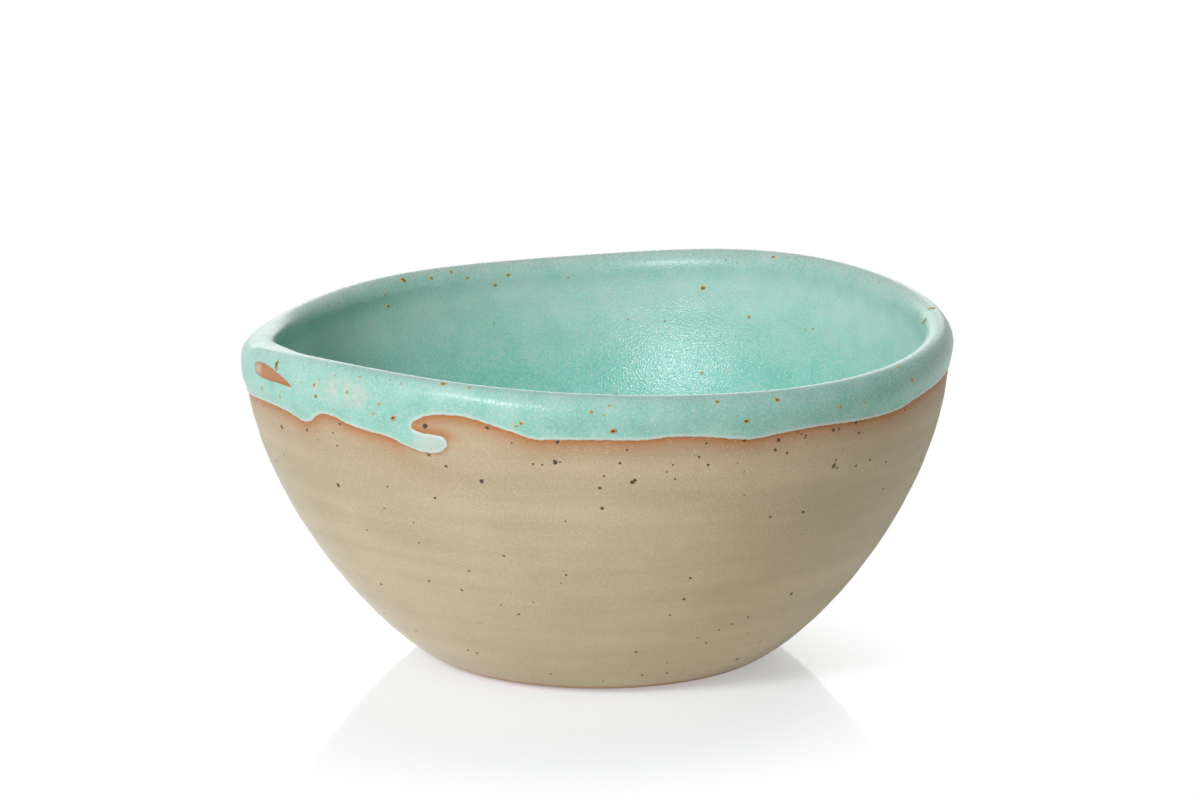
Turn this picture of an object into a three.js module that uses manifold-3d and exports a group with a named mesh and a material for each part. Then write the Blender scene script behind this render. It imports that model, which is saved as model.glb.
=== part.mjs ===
// Hand-thrown stoneware cereal bowl: a bare clay body, a glaze poured inside and a glaze dipped over the lip.
// Millimetres, +Z up. The origin is the centre of the flat foot, on the axis that the bowl was turned about.
// Azimuths are in degrees, anticlockwise from +X seen from above, so the near side is at 270.
// Drops are in millimetres along the wall, down from the level where the rounded lip begins.
import * as THREE from 'three';
import { mergeVertices } from 'three/addons/utils/BufferGeometryUtils.js';
import Module from 'manifold-3d';

const wasm = await Module();
wasm.setup();

const { degToRad, lerp } = THREE.MathUtils;

// Clay body, as an upright section
const FOOT_RADIUS = 35.8;
const FOOT_ROUNDING = 2;
const FLOOR_THICKNESS = 7;
const FLOOR_REACH = 12; // how far past the foot the pull of the flat floor goes
const WALL_FLARE = 24.5; // degrees above level where the wall leaves the foot
const FLARE_REACH = 16.3; // pull of that flare along the wall
const WALL_RISE = 28.5; // pull of the upright stretch below the lip
const LIP_RADIUS = 76.1;
const LIP_LEVEL = 68.2;
const LIP_THICKNESS = 4.6;
const LIP_CROWN = 3.3;

// Glaze coats
const GLAZE_THICKNESS = 0.7;
const BOND_GAP = 0.2;
const SEAM_DROP = 6; // inside the bowl, where the dipped coat meets the poured one
const SEAM_GAP = 0.3;

// Wobble of a bowl lifted off the wheel by hand, growing from a level near the floor to lobes at the lip
const TRUE_LEVEL = 10;
const WOBBLE_GROWTH = 1.3;
const RADIUS_LOBES = [
  { count: 1, size: 0.4, crest: -144 },
  { count: 2, size: 0.3, crest: 92 },
];
const HEIGHT_LOBES = [
  { count: 1, size: 1.3, crest: 19 },
  { count: 2, size: 2, crest: 56 },
  { count: 3, size: 0.4, crest: -4 },
  { count: 4, size: 0.5, crest: 44 },
  { count: 5, size: 0.3, crest: -8 },
];

// Lower edge of the rim glaze round the outside, as [azimuth, drop]
const GLAZE_EDGE = [
  [0, 4.4], [12, 5.4], [22, 4.6], [33, 5.8], [41, 7.6], [48, 6], [58, 4.4], [70, 5], [83, 6.4], [95, 5.2],
  [108, 4.2], [120, 5.6], [131, 7.2], [141, 6], [152, 4.8], [163, 6.2], [176, 7.6], [190, 7.4], [200, 7],
  [207, 7.2], [212, 7.8], [217, 9], [219, 8.1], [221, 6.6], [224, 6.3], [228, 7.4], [232, 8], [236, 8.4],
  [239, 9.6], [242, 10.4], [245, 10.2], [250, 9.8], [255, 3.3], [260, 5.1], [264, 4.9], [270, 4.6],
  [277, 4.5], [281, 3.9], [287, 4.2], [291, 4.9], [294, 5.2], [299, 4.5], [304, 4.1], [308, 4.1],
  [314, 4.5], [322, 4.8], [326, 4.7], [330, 4.1], [341, 3.7], [352, 4], [360, 4.4],
];

// Shore of the bay of bare clay that a hooked run of glaze closes in from below, from its open end to the run
const BAY_SHORE = [
  [256, 4], [254.5, 3.2], [252.7, 2.6], [250.8, 2.1], [248.9, 1.8], [246.9, 1.9], [243.9, 2.4], [241.8, 3.5],
  [240.6, 4.6], [240.4, 5.5], [241.6, 6.2], [243.7, 6.3], [245.8, 6.6], [246.5, 8], [245.8, 9.5],
  [244.8, 10.8],
];

// Lens of bare clay on the shoulder of the lip that the dip missed, from its pointed end and back to it
const BARE_LENS = [
  [213.6, 2.1], [210.8, 0.6], [208.7, -0.1], [206.3, -0.8], [203.7, -1.2], [200.5, -1.3], [198.2, -0.5],
  [198.4, 0.9], [200.8, 1.7], [203.5, 1.9], [206.2, 2], [208.6, 2], [211, 2.1], [213.6, 2.1],
];
const CUT_MARGIN = 3; // how far a cutter reaches past the coat on every side

// Facets
const COLUMNS = 72;
const FOOT_ROWS = 3;
const WALL_ROWS = 12;
const LIP_ROWS = 8;
const SEAM_ROWS = 2;
const INSIDE_ROWS = 10;
const EDGE_ROWS = 4;
const OUTLINE_STEPS = 3;

// Half sections of the clay: the outside of the wall, the lip from outside to inside, and the hollow
const flare = degToRad(WALL_FLARE);
const hollowRadius = LIP_RADIUS - LIP_THICKNESS;
const wall = new THREE.CubicBezierCurve(
  new THREE.Vector2(FOOT_RADIUS, 0),
  new THREE.Vector2(FOOT_RADIUS + FLARE_REACH * Math.cos(flare), FLARE_REACH * Math.sin(flare)),
  new THREE.Vector2(LIP_RADIUS, LIP_LEVEL - WALL_RISE),
  new THREE.Vector2(LIP_RADIUS, LIP_LEVEL),
);
const lip = new THREE.EllipseCurve(
  LIP_RADIUS - LIP_THICKNESS / 2, LIP_LEVEL, LIP_THICKNESS / 2, LIP_CROWN, 0, Math.PI,
);
const hollow = new THREE.CubicBezierCurve(
  new THREE.Vector2(hollowRadius, LIP_LEVEL),
  new THREE.Vector2(hollowRadius, LIP_LEVEL - WALL_RISE),
  new THREE.Vector2(FOOT_RADIUS + FLOOR_REACH, FLOOR_THICKNESS),
  new THREE.Vector2(0, FLOOR_THICKNESS),
);
const wallLength = wall.getLength();
const seam = SEAM_DROP / hollow.getLength();
const seamGap = SEAM_GAP / hollow.getLength();

/** Evenly spread numbers from one value to another, both ends included. */
function spread(from, to, steps) {
  return Array.from({ length: steps + 1 }, (_, step) => lerp(from, to, step / steps));
}

/** A point of a clay curve, moved out of the clay by a height. */
function proud(curve, share, height) {
  const point = curve.getPointAt(share);
  const tangent = curve.getTangentAt(share);
  return new THREE.Vector2(point.x + height * tangent.y, point.y - height * tangent.x);
}

/** A point over the outside of the clay, on the lip where the drop is negative. */
function outside(drop, height) {
  if (drop < 0) return proud(lip, -drop / lip.getLength(), height);
  return proud(wall, 1 - drop / wallLength, height);
}

/** Sum of a set of lobes at an azimuth in radians. */
function wave(lobes, azimuth) {
  const heights = lobes.map(({ count, size, crest }) => size * Math.cos(count * (azimuth - degToRad(crest))));
  return heights.reduce((sum, height) => sum + height, 0);
}

/** A point of the upright section, carried round to an azimuth in radians and given the wobble there. */
function thrown(point, azimuth) {
  const lift = Math.max(0, (point.y - TRUE_LEVEL) / (LIP_LEVEL - TRUE_LEVEL)) ** WOBBLE_GROWTH;
  const radius = point.x * (1 + (lift * wave(RADIUS_LOBES, azimuth)) / LIP_RADIUS);
  const height = point.y + lift * wave(HEIGHT_LOBES, azimuth);
  return new THREE.Vector3(radius * Math.cos(azimuth), radius * Math.sin(azimuth), height);
}

/** A closed geometry with its shared vertices merged and its collapsed triangles left out. */
function closed(geometry) {
  geometry.deleteAttribute('normal');
  geometry.deleteAttribute('uv');
  const merged = mergeVertices(geometry);
  const corners = [...merged.index.array];
  const kept = [];
  for (let i = 0; i < corners.length; i += 3) {
    const [a, b, c] = corners.slice(i, i + 3);
    if (a !== b && b !== c && c !== a) kept.push(a, b, c);
  }
  merged.setIndex(kept);
  return merged;
}

/** A body whose section, a loop or a line from axis to axis, is known at every azimuth. */
function turned(sectionAt) {
  const azimuths = spread(0, 2 * Math.PI, COLUMNS).slice(0, COLUMNS);
  const columns = azimuths.map((azimuth) => sectionAt(azimuth).map((point) => thrown(point, azimuth)));
  const rows = columns[0].length;
  const corners = [];
  for (let column = 0; column < COLUMNS; column++) {
    const here = column * rows;
    const next = ((column + 1) % COLUMNS) * rows;
    for (let row = 0; row < rows; row++) {
      const above = (row + 1) % rows;
      corners.push(here + row, next + row, next + above);
      corners.push(here + row, next + above, here + above);
    }
  }
  const geometry = new THREE.BufferGeometry().setFromPoints(columns.flat());
  geometry.setIndex(corners);
  return closed(geometry);
}

/** A cutter through the rim coat: an outline in azimuth and drop, wrapped on the outside of the bowl. */
function wrapped(outline) {
  const depth = CUT_MARGIN + BOND_GAP + GLAZE_THICKNESS + CUT_MARGIN;
  const options = { depth, bevelEnabled: false, curveSegments: OUTLINE_STEPS };
  const cutter = closed(new THREE.ExtrudeGeometry(outline, options));
  const { position } = cutter.attributes;
  for (let i = 0; i < position.count; i++) {
    const point = outside(-position.getY(i), position.getZ(i) - CUT_MARGIN);
    position.setXYZ(i, ...thrown(point, degToRad(position.getX(i))));
  }
  return cutter;
}

/** A geometry as a solid that can be cut. */
function solid(geometry) {
  const vertProperties = new Float32Array(geometry.attributes.position.array);
  const triVerts = new Uint32Array(geometry.index.array);
  return new wasm.Manifold(new wasm.Mesh({ numProp: 3, vertProperties, triVerts }));
}

/** A geometry less its cutters. */
function cut(geometry, cutters) {
  const rest = cutters.reduce((body, cutter) => body.subtract(solid(cutter)), solid(geometry));
  const { vertProperties, triVerts } = rest.getMesh();
  const result = new THREE.BufferGeometry();
  result.setAttribute('position', new THREE.BufferAttribute(vertProperties, 3));
  result.setIndex(new THREE.BufferAttribute(triVerts, 1));
  return result;
}

/** Clay body: flat foot, flaring wall, rounded lip and hollow. */
function stonewareBody() {
  const heel = FOOT_ROUNDING / wallLength;
  const footEdge = new THREE.QuadraticBezierCurve(
    new THREE.Vector2(FOOT_RADIUS - FOOT_ROUNDING, 0),
    new THREE.Vector2(FOOT_RADIUS, 0),
    wall.getPointAt(heel),
  );
  const section = [
    new THREE.Vector2(0, 0),
    ...footEdge.getPoints(FOOT_ROWS),
    ...spread(heel, 1, WALL_ROWS).slice(1).map((share) => wall.getPointAt(share)),
    ...spread(0, 1, LIP_ROWS).slice(1).map((share) => lip.getPointAt(share)),
    ...spread(0, seam, SEAM_ROWS).slice(1).map((share) => hollow.getPointAt(share)),
    ...spread(seam, 1, INSIDE_ROWS).slice(1, -1).map((share) => hollow.getPointAt(share)),
    new THREE.Vector2(0, FLOOR_THICKNESS),
  ];
  return turned(() => section);
}

/** Poured glaze: a skin over the floor and the inside of the wall, up to the seam. */
function linerGlaze() {
  const skin = (height) => [
    ...spread(seam, 1, INSIDE_ROWS).slice(0, -1).map((share) => proud(hollow, share, height)),
    new THREE.Vector2(0, FLOOR_THICKNESS + height),
  ];
  const section = [...skin(BOND_GAP).reverse(), ...skin(BOND_GAP + GLAZE_THICKNESS)];
  return turned(() => section);
}

/** Dipped glaze: a skin from the seam over the lip and down the outside to its uneven edge. */
function rimGlaze() {
  const edge = new THREE.CubicInterpolant(
    GLAZE_EDGE.map(([azimuth]) => degToRad(azimuth)), GLAZE_EDGE.map(([, drop]) => drop), 1,
  );
  const overLip = (height) => [
    ...spread(0, 1, LIP_ROWS).map((share) => proud(lip, share, height)),
    ...spread(0, seam - seamGap, SEAM_ROWS).slice(1).map((share) => proud(hollow, share, height)),
  ];
  const skin = (height, edgeDrop) => [
    ...spread(edgeDrop, 0, EDGE_ROWS).slice(0, -1).map((drop) => outside(drop, height)),
    ...overLip(height),
  ];
  const coat = turned((azimuth) => {
    const [drop] = edge.evaluate(azimuth);
    const bead = outside(drop, BOND_GAP + GLAZE_THICKNESS / 2);
    const outer = skin(BOND_GAP + GLAZE_THICKNESS, drop - GLAZE_THICKNESS / 2);
    return [bead, ...outer, ...skin(BOND_GAP, drop).reverse()];
  });
  return cut(coat, [wrapped(bayOutline()), wrapped(lensOutline())]);
}

/** Outline of the bay, closed off below the lowest reach of the coat. */
function bayOutline() {
  const shore = BAY_SHORE.map(([azimuth, drop]) => new THREE.Vector2(azimuth, -drop));
  const [start] = shore;
  const end = shore.at(-1);
  const clear = -Math.max(...GLAZE_EDGE.map(([, drop]) => drop)) - CUT_MARGIN;
  const outline = new THREE.Shape();
  outline.moveTo(start.x, clear);
  outline.lineTo(start.x, start.y);
  outline.splineThru(shore.slice(1));
  outline.lineTo(end.x, clear);
  return outline;
}

/** Outline of the bare lens. */
function lensOutline() {
  const [tip, ...rest] = BARE_LENS.map(([azimuth, drop]) => new THREE.Vector2(azimuth, -drop));
  const outline = new THREE.Shape();
  outline.moveTo(tip.x, tip.y);
  outline.splineThru(rest);
  return outline;
}

/** One named piece of the bowl. */
function piece(name, geometry, finish) {
  geometry.computeVertexNormals();
  const mesh = new THREE.Mesh(geometry, new THREE.MeshStandardMaterial(finish));
  mesh.name = name;
  return mesh;
}

const BUFF_CLAY = { color: 0xbfae88, roughness: 0.85, metalness: 0 };
const TURQUOISE_GLAZE = { color: 0x92c6b8, roughness: 0.35, metalness: 0 };

const glazes = new THREE.Group();
glazes.add(piece('liner_glaze', linerGlaze(), TURQUOISE_GLAZE));
glazes.add(piece('rim_glaze', rimGlaze(), TURQUOISE_GLAZE));

const bowl = new THREE.Group();
bowl.name = 'cereal_bowl';
bowl.add(piece('stoneware_body', stonewareBody(), BUFF_CLAY));
bowl.add(glazes);

export default bowl;
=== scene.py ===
"""Hand-thrown stoneware cereal bowl, dressed on its frame: bare clay, turquoise glaze and iron specks.

Lengths are millimetres until they go into a mesh, which is in metres. Azimuths are degrees, anticlockwise
from +X seen from above, so the near side is at 270. A reach is measured along the section from where the
rounded lip begins: it is negative down the outside of the wall, and positive over the lip and down the
hollow.
"""
import logging
import math
from dataclasses import dataclass, field
from enum import Enum
from functools import partial, reduce
from typing import Any, Sequence

import bpy
import numpy as np
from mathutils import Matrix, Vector
from mathutils.bvhtree import BVHTree
from mathutils.geometry import delaunay_2d_cdt
from numpy.typing import NDArray


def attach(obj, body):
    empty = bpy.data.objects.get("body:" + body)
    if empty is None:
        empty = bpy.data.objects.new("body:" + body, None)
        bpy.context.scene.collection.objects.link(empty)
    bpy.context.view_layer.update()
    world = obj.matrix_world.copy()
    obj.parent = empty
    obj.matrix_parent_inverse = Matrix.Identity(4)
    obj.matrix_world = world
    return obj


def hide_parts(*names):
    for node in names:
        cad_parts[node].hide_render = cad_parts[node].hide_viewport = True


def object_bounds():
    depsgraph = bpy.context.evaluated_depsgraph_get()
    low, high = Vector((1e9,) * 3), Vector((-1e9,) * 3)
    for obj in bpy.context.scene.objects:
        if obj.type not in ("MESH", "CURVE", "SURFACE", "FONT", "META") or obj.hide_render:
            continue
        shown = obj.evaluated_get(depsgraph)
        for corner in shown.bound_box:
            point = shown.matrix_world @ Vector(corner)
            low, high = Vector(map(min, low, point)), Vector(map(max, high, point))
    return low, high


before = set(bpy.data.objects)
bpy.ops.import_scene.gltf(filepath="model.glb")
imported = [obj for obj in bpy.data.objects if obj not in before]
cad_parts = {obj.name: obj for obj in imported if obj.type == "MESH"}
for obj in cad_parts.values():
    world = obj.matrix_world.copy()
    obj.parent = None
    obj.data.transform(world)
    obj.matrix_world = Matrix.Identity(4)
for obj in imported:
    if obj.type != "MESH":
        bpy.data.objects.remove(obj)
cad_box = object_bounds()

Floats = NDArray[np.float64]
Counts = NDArray[np.int64]
Flags = NDArray[np.bool_]
Pair = tuple[float, float]
Triple = tuple[float, float, float]
Rgba = tuple[float, float, float, float]
Pairs = Sequence[Pair]
Spots = Sequence[Triple]

MM = 0.001
TURN = 2 * math.pi
WHITE: Rgba = (1.0, 1.0, 1.0, 1.0)
# Distance from the glaze's edge, in millimetres, that counts as out of its reach
FAR = 100.0
# Sine of the azimuth beyond which the bowl's outside is turned away from the photograph's camera
HIDDEN_SINE = 0.12
# Part of a dot's radius within which it is full
DOT_CORE = 0.35
# Points of a rounded loop between two of its corners
LOOP_STEPS = 40

log = logging.getLogger("cereal_bowl")


class Slot(Enum):
    """Material slots of the record."""

    STONEWARE = "stoneware"
    GLAZE = "glaze"


class Solid(Enum):
    """Solids of the frame that the dressed pieces stand for."""

    BODY = "stoneware_body"
    LINER = "liner_glaze"
    RIM = "rim_glaze"


class Trait(Enum):
    """Point attributes that carry a place on the bowl into the finishes and the speck tree."""

    TOAST = "toast"
    SANDY = "sandy"
    EDGE = "edge"
    CREST = "crest"
    POOL = "pool"
    THIN = "thin"
    LINER = "liner"
    WELL = "well"
    UNSEEN = "unseen"
    CORE = "core"
    FACING = "facing"
    GIRTH = "girth"


@dataclass(frozen=True)
class Dots:
    """Round dots in a jumbled grid: size of a cell, part of the cells that hold one, and radius of a dot."""

    spacing: float
    share: float
    radius: float


class NodeBoard:
    """Adds and links the nodes of one tree."""

    def __init__(self, tree: bpy.types.NodeTree) -> None:
        """Starts from an empty tree."""
        self.tree = tree
        tree.nodes.clear()

    def feed(self, socket: bpy.types.NodeSocket, value: Any) -> None:
        """Links a socket to another one, or sets its constant.

        Args:
            socket: Input to feed.
            value: Output socket of another node, or a plain value.
        """
        if isinstance(value, bpy.types.NodeSocket):
            self.tree.links.new(value, socket)
        else:
            socket.default_value = value

    def add(self, kind: str, feeds: dict[Any, Any] | None = None, **settings: Any) -> bpy.types.Node:
        """Adds a node.

        Args:
            kind: Type name of the node.
            feeds: Values or sockets for its inputs, by name or index.
            settings: Properties of the node.

        Returns:
            The new node.
        """
        node = self.tree.nodes.new(kind)
        for name, value in settings.items():
            setattr(node, name, value)
        for key, value in (feeds or {}).items():
            self.feed(node.inputs[key], value)
        return node

    def math(self, operation: str, *terms: Any) -> bpy.types.NodeSocket:
        """Result of one Math node."""
        return self.add("ShaderNodeMath", dict(enumerate(terms)), operation=operation).outputs[0]

    def total(self, *terms: Any) -> bpy.types.NodeSocket:
        """Sum of sockets and numbers."""
        return reduce(partial(self.math, "ADD"), terms)

    def times(self, *terms: Any) -> bpy.types.NodeSocket:
        """Product of sockets and numbers."""
        return reduce(partial(self.math, "MULTIPLY"), terms)

    def from_axis(self, x: Any, y: Any) -> bpy.types.NodeSocket:
        """Distance of a place from the Z axis."""
        return self.math("SQRT", self.total(self.times(x, x), self.times(y, y)))

    def mix(self, share: Any, first: Any, second: Any) -> bpy.types.NodeSocket:
        """Blend of two colours.

        Args:
            share: Part of the second colour.
            first: Colour as a hex string or a socket.
            second: Colour as a hex string or a socket.

        Returns:
            The blended colour.
        """
        feeds = {0: share, 6: shade(first), 7: shade(second)}
        return self.add("ShaderNodeMix", feeds, data_type="RGBA").outputs[2]


class Paintbox(NodeBoard):
    """Nodes of one surface finish, on the piece's own coordinates."""

    def __init__(self, name: str) -> None:
        """Makes the material and reads the piece's coordinates.

        Args:
            name: Name of the material.
        """
        self.material = bpy.data.materials.new(name)
        self.material.use_nodes = True
        super().__init__(self.material.node_tree)
        self.place = self.add("ShaderNodeTexCoord").outputs["Object"]

    def noise(self, size: float, detail: float = 2.0, flatten: float = 1.0) -> bpy.types.NodeSocket:
        """Soft noise.

        Args:
            size: Size of its features in millimetres.
            detail: How many finer octaves it has.
            flatten: How many times wider than high its features are.

        Returns:
            A value about 0.5.
        """
        place = self.place
        if flatten != 1.0:
            squeeze = (1 / flatten, 1 / flatten, 1.0)
            place = self.add("ShaderNodeVectorMath", {0: place, 1: squeeze}, operation="MULTIPLY").outputs[0]
        feeds = {"Vector": place, "Scale": 1 / (size * MM), "Detail": detail}
        return self.add("ShaderNodeTexNoise", feeds).outputs[0]

    def dots(self, dots: Dots) -> bpy.types.NodeSocket:
        """Mask of round dots.

        Args:
            dots: Their sizes and number.

        Returns:
            A mask, 1 in the middle of a dot.
        """
        cells = self.add("ShaderNodeTexVoronoi", {"Vector": self.place, "Scale": 1 / (dots.spacing * MM)})
        lot = self.add("ShaderNodeSeparateColor", {0: cells.outputs["Color"]}).outputs[0]
        picked = self.math("LESS_THAN", lot, dots.share)
        spread = dots.radius / dots.spacing
        return self.times(picked, self.step(cells.outputs["Distance"], spread, DOT_CORE * spread))

    def step(self, value: Any, low: float, high: float) -> bpy.types.NodeSocket:
        """Smooth rise from 0 at a low value to 1 at a high one, or a fall where low is above high.

        Args:
            value: What is measured.
            low: Value that gives 0.
            high: Value that gives 1.

        Returns:
            The share between them.
        """
        ends = (low, high, 0.0, 1.0) if low < high else (high, low, 1.0, 0.0)
        names = ("From Min", "From Max", "To Min", "To Max")
        feeds = {"Value": value, **dict(zip(names, ends))}
        return self.add("ShaderNodeMapRange", feeds, interpolation_type="SMOOTHSTEP").outputs[0]

    def rise(self, length: Any, low: float, high: float) -> bpy.types.NodeSocket:
        """Smooth step of a length between two others in millimetres."""
        return self.step(length, low * MM, high * MM)

    def layer(self, under: Any, colour: Any, *masks: Any) -> bpy.types.NodeSocket:
        """Colour with another one laid over it, as far as the product of the masks."""
        return self.mix(self.times(*masks), under, colour)

    def trait(self, trait: Trait) -> bpy.types.NodeSocket:
        """Value of a point attribute."""
        return self.add("ShaderNodeAttribute", attribute_name=trait.value).outputs["Fac"]

    def bump(self, height: Any, depth: float, under: Any = None) -> bpy.types.NodeSocket:
        """Normal of a fine relief.

        Args:
            height: Relief as a value from 0 to 1.
            depth: Depth of the relief in millimetres.
            under: Normal of a coarser relief, if any.

        Returns:
            The bumped normal.
        """
        feeds = {"Strength": 1.0, "Distance": depth * MM, "Height": height}
        if under is not None:
            feeds["Normal"] = under
        return self.add("ShaderNodeBump", feeds).outputs[0]

    def surface(self, **sockets: Any) -> bpy.types.Material:
        """Ends the tree in one Principled shader.

        Args:
            sockets: Inputs of the shader, with underscores for spaces.

        Returns:
            The finished material.
        """
        feeds = {name.replace("_", " "): value for name, value in sockets.items()}
        shader = self.add("ShaderNodeBsdfPrincipled", feeds)
        self.add("ShaderNodeOutputMaterial", {"Surface": shader.outputs[0]})
        return self.material


class GrowthTree(NodeBoard):
    """Nodes of one geometry tree with named inputs."""

    def __init__(self, name: str) -> None:
        """Makes the tree with a geometry going in and one coming out.

        Args:
            name: Name of the tree.
        """
        super().__init__(bpy.data.node_groups.new(name, "GeometryNodeTree"))
        self.tree.interface.new_socket("Result", in_out="OUTPUT", socket_type="NodeSocketGeometry")
        self.entry = self.add("NodeGroupInput")
        self.surface = self.knob("Surface", "NodeSocketGeometry")

    def knob(self, name: str, kind: str = "NodeSocketFloat") -> bpy.types.NodeSocket:
        """Adds a named input.

        Args:
            name: Name of the input.
            kind: Type of its socket.

        Returns:
            The socket that carries it into the tree.
        """
        self.tree.interface.new_socket(name, in_out="INPUT", socket_type=kind)
        return self.entry.outputs[name]

    def attribute(self, trait: Trait, kind: str = "FLOAT") -> bpy.types.NodeSocket:
        """Value of a point attribute."""
        return self.add("GeometryNodeInputNamedAttribute", {"Name": trait.value}, data_type=kind).outputs[0]

    def store(self, geometry: Any, trait: Trait, value: Any, kind: str = "FLOAT") -> bpy.types.NodeSocket:
        """Geometry with a point attribute written to it.

        Args:
            geometry: Geometry socket.
            trait: Attribute to write.
            value: Socket with its value.
            kind: Data type of the attribute.

        Returns:
            The geometry with the attribute.
        """
        feeds = {"Geometry": geometry, "Name": trait.value, "Value": value}
        return self.add("GeometryNodeStoreNamedAttribute", feeds, data_type=kind).outputs[0]

    def close(self, geometry: Any, material: Any) -> None:
        """Ends the tree: real meshes, smooth, in one material.

        Args:
            geometry: Geometry socket to hand out.
            material: Material socket.
        """
        real = self.add("GeometryNodeRealizeInstances", {0: geometry}).outputs[0]
        smooth = self.add("GeometryNodeSetShadeSmooth", {0: real}).outputs[0]
        dressed = self.add("GeometryNodeSetMaterial", {"Geometry": smooth, "Material": material})
        self.add("NodeGroupOutput", {0: dressed.outputs[0]})

    def grow(self, obj: bpy.types.Object, settings: dict[str, Any]) -> None:
        """Runs the tree on an object and keeps the result as the object's plain mesh.

        Args:
            obj: Object whose mesh goes in.
            settings: Values of the named inputs.
        """
        modifier = obj.modifiers.new(self.tree.name, "NODES")
        modifier.node_group = self.tree
        for name, value in settings.items():
            modifier[self.tree.interface.items_tree[name].identifier] = value
        depsgraph = bpy.context.evaluated_depsgraph_get()
        shown = obj.evaluated_get(depsgraph)
        result = bpy.data.meshes.new_from_object(shown, preserve_all_data_layers=True, depsgraph=depsgraph)
        obj.modifiers.remove(modifier)
        obj.data = result


def shade(colour: Any) -> Any:
    """Linear RGBA of a hex colour; anything else is passed on.

    Args:
        colour: Hex string such as "#92c6b8", or a socket.

    Returns:
        Four linear channels, or the socket.
    """
    if not isinstance(colour, str):
        return colour
    channels = [int(colour[start:start + 2], 16) / 255 for start in (1, 3, 5)]
    return (*[c / 12.92 if c <= 0.04045 else ((c + 0.055) / 1.055) ** 2.4 for c in channels], 1.0)


def bezier(corners: Pairs, count: int) -> Floats:
    """Points of a cubic curve.

    Args:
        corners: Its four control points.
        count: How many points to give.

    Returns:
        The points, one a row.
    """
    share = np.linspace(0, 1, count)[:, None]
    start, pull, push, end = np.array(corners, float)
    rest = 1 - share
    return rest**3 * start + 3 * share * rest**2 * pull + 3 * share**2 * rest * push + share**3 * end


def smooth_loop(corners: Floats, lap: float, spacing: float) -> Floats:
    """Rounded loop through a list of points, in even steps.

    Args:
        corners: Points that the loop goes through.
        lap: What one lap adds to x, or 0 where the loop closes on itself.
        spacing: Distance between the points of the result.

    Returns:
        The points of one lap.
    """
    shift = np.array([lap, 0.0])
    knots = np.vstack([corners[-1:] - shift, corners, corners[:2] + shift])
    share = np.linspace(0, 1, LOOP_STEPS, endpoint=False)[:, None]
    runs = []
    for before, start, end, after in zip(knots, knots[1:], knots[2:], knots[3:]):
        pairs = ((before, start), (start, end), (end, after))
        times = np.cumsum([0.0] + [math.sqrt(math.dist(*pair)) for pair in pairs])
        now = times[1] + share * (times[2] - times[1])
        near = [blend(now, times[i], times[i + 1], *pair) for i, pair in enumerate(pairs)]
        far = [blend(now, times[i], times[i + 2], near[i], near[i + 1]) for i in range(2)]
        runs.append(blend(now, times[1], times[2], *far))
    line = np.vstack([*runs, corners[:1] + shift])
    along = np.concatenate([[0.0], np.cumsum(np.linalg.norm(np.diff(line, axis=0), axis=1))])
    steps = np.linspace(0, along[-1], round(along[-1] / spacing), endpoint=False)
    return np.stack([np.interp(steps, along, line[:, axis]) for axis in range(2)], axis=1)


def blend(now: Floats, start: float, end: float, first: Floats, last: Floats) -> Floats:
    """Straight blend of two points between two times."""
    return ((end - now) * first + (now - start) * last) / (end - start)


def smooth_rise(value: Floats, low: float, high: float) -> Floats:
    """Smooth rise from 0 at a low value to 1 at a high one, or a fall where low is above high."""
    share = np.clip((value - low) / (high - low), 0, 1)
    return share * share * (3 - 2 * share)


def ring_quads(lower: int, upper: int, columns: int) -> Counts:
    """Faces between two rings of points, pointing out where the second ring is further along the section.

    Args:
        lower: Index of the first ring's first point.
        upper: Index of the second ring's first point.
        columns: Points of a ring.

    Returns:
        Four corners a row.
    """
    here = np.arange(columns)
    after = (here + 1) % columns
    return np.stack([lower + here, lower + after, upper + after, upper + here], axis=1)


def fan(ring: int, tip: int, columns: int) -> Counts:
    """Faces from a ring of points to one further along the section, pointing out."""
    here = np.arange(columns)
    return np.stack([ring + here, ring + (here + 1) % columns, np.full(columns, tip)], axis=1)


def mesh_object(
    name: str, points: Floats, faces: Sequence[Counts], traits: dict[Trait, Floats],
) -> bpy.types.Object:
    """Object at the origin with a mesh in metres.

    Args:
        name: Name of the object and its mesh.
        points: Points in millimetres.
        faces: Arrays of faces, each with one number of corners.
        traits: Point attributes, with one value or one vector a point.

    Returns:
        The object, linked to the scene.
    """
    mesh = bpy.data.meshes.new(name)
    mesh.from_pydata((points * MM).tolist(), [], [face for group in faces for face in group.tolist()])
    for trait, values in traits.items():
        vector = values.ndim == 2
        layer = mesh.attributes.new(trait.value, "FLOAT_VECTOR" if vector else "FLOAT", "POINT")
        layer.data.foreach_set("vector" if vector else "value", values.astype(np.float32).ravel())
    obj = bpy.data.objects.new(name, mesh)
    bpy.context.scene.collection.objects.link(obj)
    return obj


@dataclass(frozen=True)
class Lobe:
    """One wave round the lip: its crests, its height in millimetres and where a crest lies."""

    count: int
    size: float
    crest: float


@dataclass(frozen=True)
class FingerRing:
    """One set of ridges left by the fingers: spacing and depth in millimetres, and starts of its spiral."""

    pitch: float
    depth: float
    starts: int


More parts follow.
